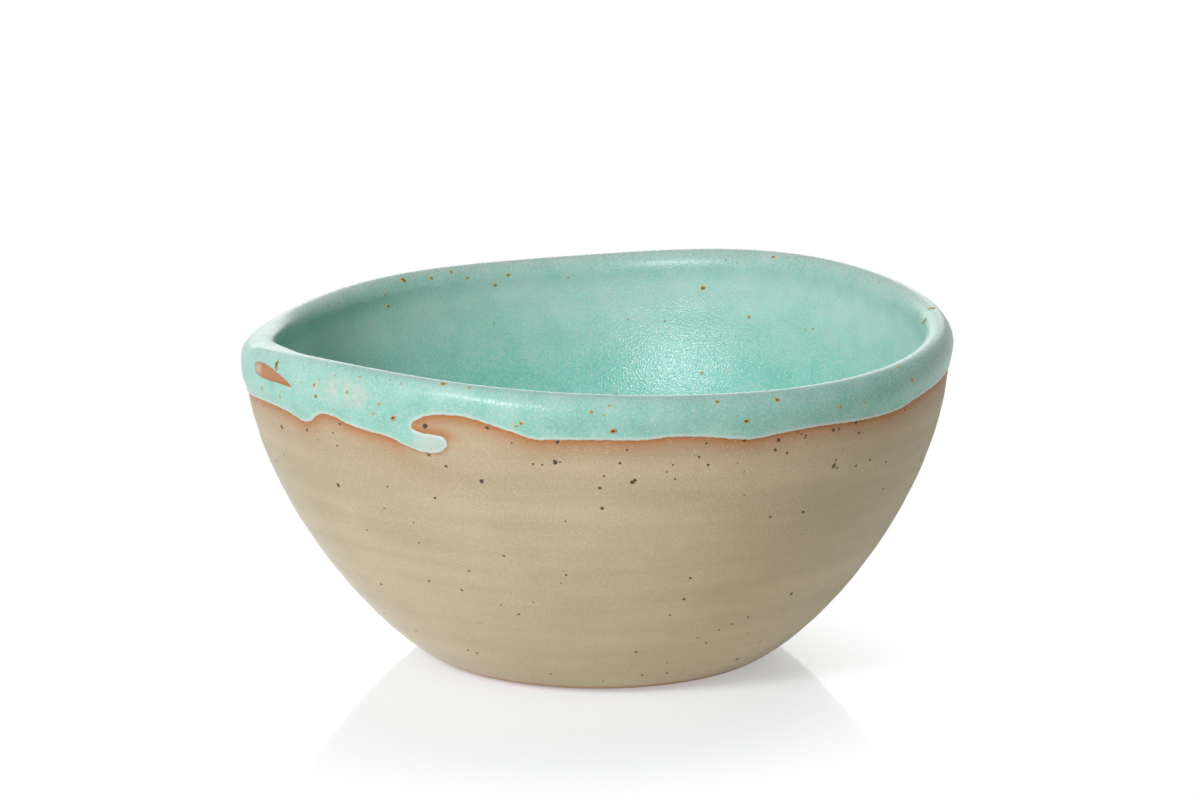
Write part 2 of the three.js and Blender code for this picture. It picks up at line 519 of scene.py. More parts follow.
@dataclass
class ClaySection:
    """Upright half section of the clay as it was turned, in millimetres."""

    foot_radius: float = 35.8
    foot_rounding: float = 2.0
    floor_thickness: float = 7.0
    floor_reach: float = 12.0
    wall_flare: float = 24.5
    flare_reach: float = 16.3
    wall_rise: float = 28.5
    lip_radius: float = 76.1
    lip_level: float = 68.2
    lip_thickness: float = 4.6
    lip_crown: float = 3.3
    undercut: float = 1.6
    undercut_start: float = -1.0
    undercut_width: float = 3.2
    undercut_fade: float = 34.0
    shoulder: float = 0.5
    shoulder_place: float = 0.72
    shoulder_width: float = 1.4
    # Azimuths of the upright back and the fullest left of the lip, and cosines from them where each fades
    upright_azimuth: float = 65.0
    upright_fade: Pair = (0.55, -0.45)
    fullest: float = 1.3
    fullest_azimuth: float = 186.0
    fullest_fade: Pair = (0.88, 1.0)
    samples: int = 1500
    reach: Floats = field(init=False, repr=False)
    points: Floats = field(init=False, repr=False)
    tangents: Floats = field(init=False, repr=False)
    wall_length: float = field(init=False)
    lip_length: float = field(init=False)

    def __post_init__(self) -> None:
        """Lays the wall, the lip and the hollow end to end as one measured path."""
        flare = math.radians(self.wall_flare)
        pull = (self.foot_radius + self.flare_reach * math.cos(flare), self.flare_reach * math.sin(flare))
        rise = self.lip_level - self.wall_rise
        inner = self.lip_radius - self.lip_thickness
        outer_end, inner_start = (self.lip_radius, self.lip_level), (inner, self.lip_level)
        wall = bezier(((self.foot_radius, 0), pull, (self.lip_radius, rise), outer_end), self.samples)
        floor_pull = (self.foot_radius + self.floor_reach, self.floor_thickness)
        hollow = bezier((inner_start, (inner, rise), floor_pull, (0, self.floor_thickness)), self.samples)
        swing = np.linspace(0, math.pi, self.samples)
        half = self.lip_thickness / 2
        crown = self.lip_level + self.lip_crown * np.sin(swing)
        lip = np.stack([inner + half + half * np.cos(swing), crown], axis=1)
        self.points = np.vstack([wall, lip[1:], hollow[1:]])
        along = np.concatenate([[0.0], np.cumsum(np.linalg.norm(np.diff(self.points, axis=0), axis=1))])
        self.wall_length = float(along[self.samples - 1])
        self.lip_length = float(along[2 * self.samples - 2]) - self.wall_length
        self.reach = along - self.wall_length
        slopes = np.gradient(self.points, along, axis=0)
        self.tangents = slopes / np.linalg.norm(slopes, axis=1, keepdims=True)

    @property
    def end(self) -> float:
        """Reach of the middle of the floor."""
        return float(self.reach[-1])

    def over(self, reach: Floats, height: Floats | float) -> Floats:
        """Places over the clay.

        Args:
            reach: Reach of each place.
            height: How far each one stands out of the clay.

        Returns:
            Radius and level, one pair a row.
        """
        radius, level, across, up = [
            np.interp(reach, self.reach, column) for column in (*self.points.T, *self.tangents.T)
        ]
        return np.stack([radius + height * up, level - height * across], axis=-1)

    def round(self, reach: Floats, azimuth: Floats, height: Floats | float) -> Floats:
        """Places over the clay, carried round the axis.

        Args:
            reach: Reach of each place.
            azimuth: Azimuth of each place, in radians.
            height: How far each one stands out of the clay.

        Returns:
            The points, one a row.
        """
        radius, level = self.over(reach, height - self.dip(reach, azimuth)).T
        return np.stack([radius * np.cos(azimuth), radius * np.sin(azimuth), level], axis=1)

    def dip(self, reach: Floats, azimuth: Floats) -> Floats:
        """How far the hollow is drawn back under the rolled lip, below its fuller inner shoulder.

        At the back the lip stands upright and has neither, and at the left its shoulder is fullest.

        Args:
            reach: Reach of each place.
            azimuth: Azimuth of each place, in radians.

        Returns:
            Millimetres into the clay.
        """
        depth = reach - self.lip_length
        hollow = smooth_rise(depth, self.undercut_start, self.undercut_width)
        hollow = hollow * smooth_rise(depth, self.undercut_fade, self.undercut_width)
        fuller = np.exp(-((reach - self.shoulder_place * self.lip_length) / self.shoulder_width)**2)
        leaning = smooth_rise(np.cos(azimuth - math.radians(self.upright_azimuth)), *self.upright_fade)
        side_mask = smooth_rise(np.cos(azimuth - math.radians(self.fullest_azimuth)), *self.fullest_fade)
        return (self.undercut * hollow - self.shoulder * fuller) * leaning - self.fullest * fuller * side_mask


@dataclass(frozen=True)
class Throwing:
    """What wheel and hands did to the true section: lobes at the lip, finger rings and slight lumps."""

    true_level: float = 10.0
    growth: float = 1.3
    radius_lobes: tuple[Lobe, ...] = (Lobe(1, 0.4, -144), Lobe(2, 0.3, 92))
    height_lobes: tuple[Lobe, ...] = (
        Lobe(1, 1.3, 19), Lobe(2, 2.0, 56), Lobe(3, 0.4, -4), Lobe(4, 0.5, 44), Lobe(5, 0.3, -8),
    )
    finger_rings: tuple[FingerRing, ...] = (
        FingerRing(3.1, 0.008, 1), FingerRing(4.7, 0.015, 1), FingerRing(7.9, 0.023, 2),
        FingerRing(12.7, 0.024, 1),
    )
    lump_size: float = 24.0
    lump_depth: float = 0.08

    def tree(self) -> GrowthTree:
        """Geometry tree that gives a turned mesh its wobble.

        Returns:
            The tree, with the lobes and levels as named inputs.
        """
        board = GrowthTree("Throwing")
        material = board.knob("Material", "NodeSocketMaterial")
        true_level = board.knob("True Level")
        lip_level = board.knob("Lip Level")
        lip_radius = board.knob("Lip Radius")
        growth = board.knob("Growth")
        place = board.add("GeometryNodeInputPosition").outputs[0]
        x, y, z = board.add("ShaderNodeSeparateXYZ", {0: place}).outputs
        azimuth = board.math("ARCTAN2", y, x)
        above = board.math("SUBTRACT", z, true_level)
        climb = board.math("DIVIDE", above, board.math("SUBTRACT", lip_level, true_level))
        lift = board.math("POWER", board.math("MAXIMUM", climb, 0.0), growth)

        def wave(label: str, lobes: Sequence[Lobe]) -> bpy.types.NodeSocket:
            """Sum of a set of lobes, each with its own size input."""
            waves = []
            for lobe in lobes:
                start = -lobe.count * math.radians(lobe.crest)
                turn = board.math("MULTIPLY_ADD", azimuth, lobe.count, start)
                size = board.knob(f"{label} Lobe {lobe.count}")
                waves.append(board.times(size, board.math("COSINE", turn)))
            return board.total(*waves)

        swell = board.times(lift, wave("Radius", self.radius_lobes))
        depth = board.knob("Ring Depth")
        ridges = []
        for ring in self.finger_rings:
            spiral = board.times(azimuth, ring.starts)
            phase = board.math("MULTIPLY_ADD", z, TURN / (ring.pitch * MM), spiral)
            ridges.append(board.times(board.math("SINE", phase), ring.depth))
        rings = board.times(board.total(*ridges), depth)
        feeds = {"Vector": place, "Scale": 1 / (self.lump_size * MM), "Detail": 1.0}
        noise = board.add("ShaderNodeTexNoise", feeds).outputs[0]
        lumps = board.times(board.math("SUBTRACT", noise, 0.5), board.knob("Lump Depth"))
        outward = board.total(swell, rings, lumps)
        grow = board.total(board.math("DIVIDE", outward, lip_radius), 1.0)
        rise = board.math("MULTIPLY_ADD", lift, wave("Height", self.height_lobes), z)
        feeds = {0: board.times(x, grow), 1: board.times(y, grow), 2: rise}
        moved = board.add("ShaderNodeCombineXYZ", feeds).outputs[0]
        feeds = {"Geometry": board.surface, "Position": moved}
        wobbly = board.add("GeometryNodeSetPosition", feeds).outputs[0]
        board.close(wobbly, material)
        return board

    def settings(self, section: ClaySection, material: bpy.types.Material) -> dict[str, Any]:
        """Values of the tree's inputs, in metres.

        Args:
            section: Clay section, for its lip.
            material: Finish of the piece.

        Returns:
            The values by input name.
        """
        lobes = {f"Radius Lobe {lobe.count}": lobe.size * MM for lobe in self.radius_lobes}
        lobes |= {f"Height Lobe {lobe.count}": lobe.size * MM for lobe in self.height_lobes}
        levels = {
            "Material": material, "True Level": self.true_level * MM, "Lip Level": section.lip_level * MM,
            "Lip Radius": section.lip_radius * MM, "Growth": self.growth, "Ring Depth": MM,
            "Lump Depth": self.lump_depth * MM,
        }
        return lobes | levels


@dataclass
class GlazeOutline:
    """Where the rim glaze ends, unrolled flat: x is the way round the lip, y the reach."""

    lap: float
    spacing: float = 0.45
    # Lower edge as azimuth and drop below the lip, with the hooked run between 236 and 256
    edge: Pairs = (
        (0, 4.4), (12, 5.4), (22, 4.6), (33, 5.8), (41, 7.6), (48, 6), (58, 4.4), (70, 5), (83, 6.4),
        (95, 5.2), (108, 4.2), (120, 5.6), (131, 7.2), (141, 6), (152, 4.8), (163, 6.2), (176, 7.6),
        (190, 7.4), (200, 7), (207, 7.2), (212, 7.8), (217, 9), (219, 8.1), (221, 6.6), (224, 6.3),
        (228, 7.4), (232, 8), (236, 8.4), (239, 9.6), (242, 10.4), (244.4, 10.2), (245.5, 9.6),
        (246.4, 8.2), (246, 6.7), (243.7, 6.3), (241.6, 6.2), (240.4, 5.5), (240.6, 4.6), (241.8, 3.5),
        (243.9, 2.4), (246.9, 1.9), (248.9, 1.8), (250.8, 2.1), (252.7, 2.6), (254.5, 3.2),
        (256.4, 3.8), (258.2, 4.4), (260, 5.1), (264, 4.9), (270, 4.6), (277, 4.5), (281, 3.9),
        (287, 4.2), (291, 4.9), (294, 5.2), (299, 4.5), (304, 4.1), (308, 4.1), (314, 4.5), (322, 4.8),
        (326, 4.7), (330, 4.1), (341, 3.7), (352, 4),
    )
    # Lens of bare clay that the dip missed, from its pointed end
    lens: Pairs = (
        (213.6, 2.1), (210.8, 0.6), (208.7, -0.1), (206.3, -0.8), (203.7, -1.2), (200.5, -1.3),
        (198.2, -0.5), (198.4, 0.9), (200.8, 1.7), (203.5, 1.9), (206.2, 2), (208.6, 2), (211, 2.1),
    )
    ripple_depth: float = 0.03
    ripple_lengths: tuple[float, ...] = (1.4, 2.3, 3.7)
    # Middles of the hooked run and the lens as azimuth and drop, and their half sizes
    tongue: Pair = (243.7, 8.5)
    tongue_size: Pair = (6.2, 2.9)
    lens_middle: Pair = (205.0, 0.6)
    lens_size: Pair = (20.0, 6.0)
    patch_core: float = 0.3
    lap_margin: float = 20.0
    batch: int = 2000
    edge_line: Floats = field(init=False, repr=False)
    lens_line: Floats = field(init=False, repr=False)

    def __post_init__(self) -> None:
        """Rounds both outlines, and gives the edge its fine ripple."""
        line = smooth_loop(self.unroll(self.edge), self.lap, self.spacing)
        ripple = sum(
            np.sin(TURN * np.arange(len(line)) * round(self.lap / length) / len(line) + length)
            for length in self.ripple_lengths
        )
        self.edge_line = line + self.normals(line, self.lap) * ripple[:, None] * self.ripple_depth
        self.lens_line = smooth_loop(self.unroll(self.lens), 0.0, self.spacing)

    def unroll(self, outline: Pairs) -> Floats:
        """Azimuths and drops as flat points."""
        return np.array([(azimuth / 360 * self.lap, -drop) for azimuth, drop in outline])

    def normals(self, line: Floats, lap: float) -> Floats:
        """Directions square to a loop, to the left of its way.

        Args:
            line: Points of the loop.
            lap: What one lap adds to x.

        Returns:
            Unit vectors, one a point.
        """
        shift = np.array([lap, 0.0])
        ahead = np.vstack([line[1:], line[:1] + shift]) - np.vstack([line[-1:] - shift, line[:-1]])
        ahead /= np.linalg.norm(ahead, axis=1, keepdims=True)
        return np.stack([-ahead[:, 1], ahead[:, 0]], axis=1)

    def patch(self, flat: Floats, centre: Pair, size: Pair) -> Floats:
        """Soft oval mask.

        Args:
            flat: Flat points.
            centre: Azimuth and drop of its middle.
            size: Half its width and half its height in millimetres.

        Returns:
            A value for each point, 1 in the middle.
        """
        middle = self.unroll((centre,))[0]
        return smooth_rise(np.linalg.norm((flat - middle) / size, axis=1), 1.0, self.patch_core)

    def distance(self, points: Floats) -> Floats:
        """Distance of flat points from the nearest end of the glaze.

        Args:
            points: Flat points, one a row.

        Returns:
            Millimetres, positive on the glaze and negative on bare clay.
        """
        laps = np.vstack([self.edge_line + (turn * self.lap, 0) for turn in (-1, 0, 1)])
        near = laps[(laps[:, 0] > -self.lap_margin) & (laps[:, 0] < self.lap + self.lap_margin)]
        starts = np.vstack([near[:-1], self.lens_line])
        ends = np.vstack([near[1:], np.roll(self.lens_line, -1, axis=0)])
        along = ends - starts
        reaches = (along**2).sum(axis=1)
        result = np.empty(len(points))
        for first in range(0, len(points), self.batch):
            here = points[first:first + self.batch, None, :]
            apart = here - starts
            share = np.clip((apart * along).sum(axis=2) / reaches, 0, 1)
            gaps = np.linalg.norm(apart - share[..., None] * along, axis=2).min(axis=1)
            astride = (starts[:, 0] <= here[..., 0]) != (ends[:, 0] <= here[..., 0])
            run = np.where(along[:, 0] == 0, 1.0, along[:, 0])
            crossing = starts[:, 1] + along[:, 1] * (here[..., 0] - starts[:, 0]) / run
            below = (astride & (crossing < here[..., 1])).sum(axis=1)
            result[first:first + self.batch] = np.where(below % 2 == 1, gaps, -gaps)
        return result


@dataclass(frozen=True)
class ClayFinish:
    """Bare buff stoneware: sandy, faintly banded, toasted orange beside the glaze and round the foot."""

    buff: str = "#bfb193"
    ash: str = "#b2a587"
    cream: str = "#e6decb"
    pore: str = "#8a7d66"
    toast: str = "#a9672f"
    band_size: float = 4.5
    band_stretch: float = 14.0
    band_share: float = 0.6
    cloud_size: float = 22.0
    cloud_share: float = 0.4
    tones: Pair = (0.36, 0.64)
    grit_size: float = 0.3
    grit_share: float = 0.35
    dark_grit: Pair = (0.52, 0.75)
    pale_grit: Pair = (0.45, 0.25)
    lick_size: float = 2.6
    licks: Pair = (0.0, 0.4)
    # Levels and radii between which the edge of the foot turns to toast
    foot_levels: Pair = (2.4, 0.3)
    foot_radii: Pair = (32.0, 35.0)
    foot_share: float = 0.9
    sand: Dots = Dots(0.55, 0.2, 0.17)
    sand_share: float = 0.3
    sandy_gain: float = 0.45
    pores: Dots = Dots(0.9, 0.12, 0.16)
    pore_share: float = 0.6
    grit_relief: float = 0.6
    relief_depth: float = 0.08
    roughness: float = 0.8
    specular: float = 0.4
    sheen: float = 0.34
    sheen_roughness: float = 0.4

    def material(self) -> bpy.types.Material:
        """Clay material.

        Returns:
            The finished material.
        """
        paint = Paintbox("bare_stoneware")
        bands = paint.noise(self.band_size, detail=3.0, flatten=self.band_stretch)
        cloud = paint.noise(self.cloud_size, detail=3.0)
        grit = paint.noise(self.grit_size, detail=3.0)
        tone = paint.total(paint.times(bands, self.band_share), paint.times(cloud, self.cloud_share))
        colour = paint.mix(paint.step(tone, *self.tones), self.ash, self.buff)
        colour = paint.layer(colour, self.pore, paint.step(grit, *self.dark_grit), self.grit_share)
        colour = paint.layer(colour, self.cream, paint.step(grit, *self.pale_grit), self.grit_share)
        heat = paint.times(paint.trait(Trait.TOAST), paint.step(paint.noise(self.lick_size), *self.licks))
        x, y, z = paint.add("ShaderNodeSeparateXYZ", {0: paint.place}).outputs
        ring = paint.rise(paint.from_axis(x, y), *self.foot_radii)
        low = paint.times(paint.rise(z, *self.foot_levels), ring)
        toasted = paint.math("MAXIMUM", heat, paint.times(low, self.foot_share))
        colour = paint.mix(toasted, colour, self.toast)
        sandy = paint.math("MULTIPLY_ADD", paint.trait(Trait.SANDY), self.sandy_gain, self.sand_share)
        sand = paint.times(paint.dots(self.sand), sandy)
        colour = paint.mix(sand, colour, self.cream)
        colour = paint.layer(colour, self.pore, paint.dots(self.pores), self.pore_share)
        relief = paint.total(paint.times(grit, self.grit_relief), sand)
        return paint.surface(
            Base_Color=colour, Roughness=self.roughness, Specular_IOR_Level=self.specular,
            Normal=paint.bump(relief, self.relief_depth),
            Sheen_Weight=self.sheen, Sheen_Roughness=self.sheen_roughness,
        )


@dataclass(frozen=True)
class GlazeFinish:
    """Satin turquoise glaze: clouded, frosted with fine crystals, greyer on the lip, pale where it pools;
    painted highlights on the lip and edge, painted shade at the near right and low down.
    """

    deep: str = "#86c0b1"
    pale: str = "#98cbbe"
    liner_deep: str = "#afdacd"
    liner_pale: str = "#bbe0d5"
    # Glaze low in the hollow, darker and greener: painted shade
    shaded_well_deep: str = "#77c5b1"
    shaded_well_pale: str = "#83cbb9"
    crystal: str = "#cdd0c8"
    # Colour of the dark pits, and of the painted shade at the near right
    pits_and_shade: str = "#73b5a6"
    blush: str = "#c8aa9c"
    # Colour of the crest: thin, worn glaze and a painted highlight
    worn_and_highlight: str = "#c9d1c8"
    milk: str = "#bcc6bc"
    # Pale line along the glaze's edge: thin glaze and a painted highlight on its bead
    edge: str = "#cbd3cb"
    thin: str = "#c0c6bb"
    ochre: str = "#c8a056"
    cloud_size: float = 7.0
    clouds: Pair = (0.3, 0.7)
    # X and Y between which the outside at the near right, turned from the key lamp, gets painted shade
    painted_shade_across: Pair = (15.0, 70.0)
    painted_shade_along: Pair = (20.0, -20.0)
    painted_shade_share: float = 0.4
    mottle_size: float = 0.5
    cloud_frost: float = 0.15
    crest_frost: float = 0.03
    crystals: Pair = (0.54, 0.76)
    crystal_share: float = 0.36
    liner_crystals: float = 0.22
    well_crystals: float = -0.16
    pits: Pair = (0.56, 0.34)
    pit_share: float = 0.28
    # Y between which the crown of the lip gains more of its painted highlight, towards the back
    back_highlight_along: Pair = (-10.0, 40.0)
    worn_highlight_share: float = 0.15
    back_highlight_gain: float = 0.45
    worn_highlight_frost: Pair = (0.3, 0.7)
    blushes: Dots = Dots(0.62, 0.3, 0.19)
    blush_share: float = 0.22
    crest_blush: float = 0.3
    liner_blush: float = 0.16
    bare_size: float = 1.4
    bare: Pair = (0.3, 0.7)
    thin_share: float = 0.8
    pool_share: float = 0.85
    edge_and_highlight_share: float = 0.75
    flecks: Dots = Dots(1.9, 0.22, 0.17)
    fleck_share: float = 0.5
    peel_size: float = 0.45
    peel_depth: float = 0.05
    glint_depth: float = 0.135
    crest_calm: float = -0.95
    roughness: float = 0.42
    specular: float = 0.14
    coat: float = 0.37
    well_coat: float = 0.28
    coat_roughness: float = 0.24
    coat_ior: float = 1.5

    def material(self) -> bpy.types.Material:
        """Glaze material.

        Returns:
            The finished material.
        """
        paint = Paintbox("turquoise_glaze")
        liner, well, crest = [paint.trait(trait) for trait in (Trait.LINER, Trait.WELL, Trait.CREST)]
        cloud = paint.noise(self.cloud_size, detail=4.0)
        depth = paint.step(cloud, *self.clouds)
        shallow = paint.mix(depth, self.liner_deep, self.liner_pale)
        # Low in the hollow the colour turns to the painted shade of the well
        lining = paint.mix(well, shallow, paint.mix(depth, self.shaded_well_deep, self.shaded_well_pale))
        colour = paint.mix(liner, paint.mix(depth, self.deep, self.pale), lining)
        across, along, _ = paint.add("ShaderNodeSeparateXYZ", {0: paint.place}).outputs
        # Painted shade: the outside at the near right is darkened towards the pit colour
        side_mask = paint.times(paint.rise(across, *self.painted_shade_across), paint.rise(along, *self.painted_shade_along))
        colour = paint.layer(colour, paint.mix(liner, self.pits_and_shade, colour), side_mask, self.painted_shade_share)
        clouded, rubbed = paint.times(cloud, self.cloud_frost), paint.times(crest, self.crest_frost)
        frost = paint.total(paint.noise(self.mottle_size), clouded, rubbed)
        lined, sunk = paint.times(liner, self.liner_crystals), paint.times(well, self.well_crystals)
        share = paint.total(self.crystal_share, lined, sunk)
        colour = paint.layer(colour, self.crystal, paint.step(frost, *self.crystals), share)
        colour = paint.layer(colour, self.pits_and_shade, paint.step(frost, *self.pits), self.pit_share)
        # Crest: worn glaze plus a painted highlight, stronger towards the back of the lip
        back = paint.rise(along, *self.back_highlight_along)
        share = paint.math("MULTIPLY_ADD", back, self.back_highlight_gain, self.worn_highlight_share)
        colour = paint.layer(colour, self.worn_and_highlight, crest, share, paint.step(frost, *self.worn_highlight_frost))
        crowned, lined = paint.times(crest, self.crest_blush), paint.times(liner, self.liner_blush)
        share = paint.total(self.blush_share, crowned, lined)
        colour = paint.layer(colour, self.blush, paint.dots(self.blushes), share)
        bare = paint.step(paint.noise(self.bare_size, detail=4.0), *self.bare)
        colour = paint.layer(colour, self.thin, paint.trait(Trait.THIN), bare, self.thin_share)
        colour = paint.layer(colour, self.milk, paint.trait(Trait.POOL), self.pool_share)
        # Edge line: thin glaze and a painted highlight on the bead
        colour = paint.layer(colour, self.edge, paint.trait(Trait.EDGE), self.edge_and_highlight_share)
        colour = paint.layer(colour, self.ochre, paint.dots(self.flecks), self.fleck_share)
        peel = paint.noise(self.peel_size, detail=1.0)
        ripple = paint.times(peel, paint.math("MULTIPLY_ADD", crest, self.crest_calm, 1.0))
        return paint.surface(
            Base_Color=colour, Roughness=self.roughness, Specular_IOR_Level=self.specular,
            Normal=paint.bump(peel, self.peel_depth),
            Coat_Weight=paint.math("MULTIPLY_ADD", well, self.well_coat, self.coat),
            Coat_Roughness=self.coat_roughness, Coat_IOR=self.coat_ior,
            Coat_Normal=paint.bump(ripple, self.glint_depth),
        )


@dataclass(frozen=True)
class SpeckFinish:
    """Spot of iron that came through in the firing, dark in its middle."""

    name: str
    core: str
    halo: str
    rim: str
    roughness: float
    core_depths: Pair = (0.3, 0.6)
    halo_depths: Pair = (0.0, 0.3)
    uneven_size: float = 0.35
    unevenness: float = 0.5
    grain_size: float = 0.2
    grain_depth: float = 0.02
    specular: float = 0.4

    def material(self) -> bpy.types.Material:
        """Speck material.

        Returns:
            The finished material.
        """
        paint = Paintbox(self.name)
        noise = paint.noise(self.uneven_size)
        uneven = paint.math("MULTIPLY_ADD", noise, self.unevenness, -self.unevenness / 2)
        depth = paint.total(paint.trait(Trait.CORE), uneven)
        colour = paint.mix(paint.step(depth, *self.halo_depths), self.rim, self.halo)
        colour = paint.mix(paint.step(depth, *self.core_depths), colour, self.core)
        return paint.surface(
            Base_Color=colour, Roughness=self.roughness, Specular_IOR_Level=self.specular,
            Normal=paint.bump(paint.noise(self.grain_size), self.grain_depth),
        )


@dataclass(frozen=True)
class FloorFinish:
    """White floor: faintly shaded and glossy near the bowl, and even white further off."""

    white: str = "#f6f2ea"
    shaded: Rgba = (0.66, 0.69, 0.71, 1.0)
    glow: Rgba = (0.99, 1.015, 1.025, 1.0)
    lift: float = 0.38
    # Place on the floor, and distances from it between which the shading ends, in metres
    middle: Triple = (-0.01, -0.03, 0.0)
    shadow_reach: float = 0.045
    white_reach: float = 0.088
    bounce: float = 0.15
    roughness: float = 0.08
    specular: float = 0.04

    def material(self) -> bpy.types.Material:
        """Floor material.

        Returns:
            The finished material.
        """
        paint = Paintbox("white_floor")
        seen = seen_rays(paint)
        level = paint.math("MULTIPLY_ADD", seen, self.lift - self.bounce, self.bounce)
        glow = paint.add("ShaderNodeEmission", {"Color": self.glow, "Strength": level})
        feeds = {
            "Base Color": paint.mix(seen, self.white, self.shaded), "Roughness": self.roughness,
            "Specular IOR Level": self.specular,
        }
        plain = paint.add("ShaderNodeBsdfPrincipled", feeds)
        lit = paint.add("ShaderNodeAddShader", {0: plain.outputs[0], 1: glow.outputs[0]})
        feeds = {0: paint.place, 1: self.middle}
        away = paint.add("ShaderNodeVectorMath", feeds, operation="DISTANCE").outputs["Value"]
        even = paint.times(seen, paint.step(away, self.shadow_reach, self.white_reach))
        white = paint.add("ShaderNodeEmission", {"Strength": 1.0})
        mixed = paint.add("ShaderNodeMixShader", {0: even, 1: lit.outputs[0], 2: white.outputs[0]})
        clear = paint.add("ShaderNodeBsdfTransparent")
        below = paint.add("ShaderNodeNewGeometry").outputs["Backfacing"]
        shown = paint.add("ShaderNodeMixShader", {0: below, 1: mixed.outputs[0], 2: clear.outputs[0]})
        paint.add("ShaderNodeOutputMaterial", {"Surface": shown.outputs[0]})
        return paint.material


def seen_rays(board: NodeBoard) -> bpy.types.NodeSocket:
    """Share of a ray that the camera, a gloss or a clear body sees, for a white background.

    Args:
        board: Tree of the world or the floor.

    Returns:
        1 for such rays and 0 for the rays that light the bowl.
    """
    rays = board.add("ShaderNodeLightPath").outputs
    gloss = board.math("MAXIMUM", rays["Is Glossy Ray"], rays["Is Transmission Ray"])
    return board.math("MAXIMUM", rays["Is Camera Ray"], gloss)


@dataclass
class ClayBody:
    """Thrown clay: flat foot, flaring wall, rounded lip and hollow."""

    section: ClaySection
    outline: GlazeOutline
    finish: ClayFinish
    columns: int = 512
    foot_rows: int = 8
    base_rows: int = 5
    row_height: float = 0.66
    covered_row: float = 6.0
    fine_reach: float = 3.0
    shoulder_rows: int = 6
    lip_rows: int = 8
    edge_depth: float = 24.0
    toast_reach: float = 2.2
    scorch_reach: float = 0.35
    lens_toast: float = 0.85
    speck_margin: float = 0.8
    # Middles and half sizes where the clay is hardly toasted: the hooked run's tip and the lens's blunt end
    shelters: Sequence[tuple[Pair, Pair]] = (
        ((244.5, 10.2), (11.0, 4.6)), ((198.8, 0.0), (5.5, 3.2)),
    )
    # Patch below the glaze where the sand stands out most
    sandy: Pair = (293.0, 11.0)
    sandy_size: Pair = (44.0, 15.0)

    def build(self, throwing: Throwing) -> bpy.types.Object:
        """Clay mesh in its finish.

        Args:
            throwing: Wobble of the bowl.

        Returns:
            The object.
        """
        part = self.section
        heel = -part.wall_length + part.foot_rounding
        wall = np.linspace(heel, 0, round(-heel / self.row_height))
        shoulder = np.linspace(0, self.fine_reach, self.shoulder_rows)[1:]
        lip = np.linspace(self.fine_reach, part.lip_length, self.lip_rows)[1:]
        depth = part.end - part.lip_length
        hollow = np.linspace(part.lip_length, part.end, round(depth / self.covered_row))[1:-1]
        reach = np.concatenate([wall, shoulder, lip, hollow])
        azimuth = np.linspace(0, TURN, self.columns, endpoint=False)
        base = self.foot_edge(heel)
        radii, levels = np.repeat(base, self.columns, axis=0).T
        way = np.tile(azimuth, len(base))
        under = np.stack([radii * np.cos(way), radii * np.sin(way), levels], axis=1)
        over = part.round(np.repeat(reach, self.columns), np.tile(azimuth, len(reach)), 0.0)
        points = np.vstack([under, over, [[0, 0, 0], [0, 0, part.floor_thickness]]])
        count = len(base) + len(reach)
        starts = range(0, count * self.columns, self.columns)
        quads = [ring_quads(low, high, self.columns) for low, high in zip(starts, starts[1:])]
        bottom = fan(0, count * self.columns, self.columns)[:, ::-1]
        floor = fan((count - 1) * self.columns, count * self.columns + 1, self.columns)
        traits = self.traits(np.concatenate([np.full(len(base), -part.wall_length), reach]), azimuth)
        clay = mesh_object("clay_body", points, [*quads, bottom, floor], traits)
        throwing.tree().grow(clay, throwing.settings(part, self.finish.material()))
        return clay

    def foot_edge(self, heel: float) -> Floats:
        """Rows of the flat base and the rounded edge of the foot.

        Args:
            heel: Reach where the rounded edge meets the wall.

        Returns:
            Radius and level of each row, from the middle out.
        """
        part = self.section
        flat = part.foot_radius - part.foot_rounding
        base = np.stack([np.linspace(0, flat, self.base_rows + 1)[1:], np.zeros(self.base_rows)], axis=1)
        end = part.over(np.array([heel]), 0.0)[0]
        share = np.linspace(0, 1, self.foot_rows + 1)[1:-1, None]
        bend = (1 - share)**2 * (flat, 0) + 2 * share * (1 - share) * (part.foot_radius, 0) + share**2 * end
        return np.vstack([base, bend])

    def traits(self, reach: Floats, azimuth: Floats) -> dict[Trait, Floats]:
        """Attributes of the clay's points.

        Args:
            reach: Reach of each row.
            azimuth: Azimuth of each column, in radians.

        Returns:
            How toasted and how sandy each point is, and whether its specks are scattered.
        """
        level, way = [grid.ravel() for grid in np.meshgrid(reach, azimuth, indexing="ij")]
        near = (level > -self.edge_depth) & (level < self.fine_reach)
        apart = np.full(len(level), -FAR)
        flat = np.stack([way / TURN * self.outline.lap, level], axis=1)
        apart[near] = self.outline.distance(flat[near])
        toast = np.exp(apart / self.toast_reach)
        lens = self.outline.patch(flat, self.outline.lens_middle, self.outline.lens_size)
        toast = np.maximum(toast, self.lens_toast * lens)
        for place, size in self.shelters:
            toast *= 1 - self.outline.patch(flat, place, size)
        toast = np.minimum(np.maximum(toast, np.exp(apart / self.scorch_reach)), 1.0)
        wall = (level < 0) & (level > -self.section.wall_length)
        unseen = (apart < -self.speck_margin) & wall & (np.sin(way) > HIDDEN_SINE)
        sandy = self.outline.patch(flat, self.sandy, self.sandy_size)
        marks = {Trait.TOAST: toast, Trait.SANDY: sandy, Trait.UNSEEN: unseen.astype(float)}
        return {trait: np.append(values, np.zeros(2)) for trait, values in marks.items()}


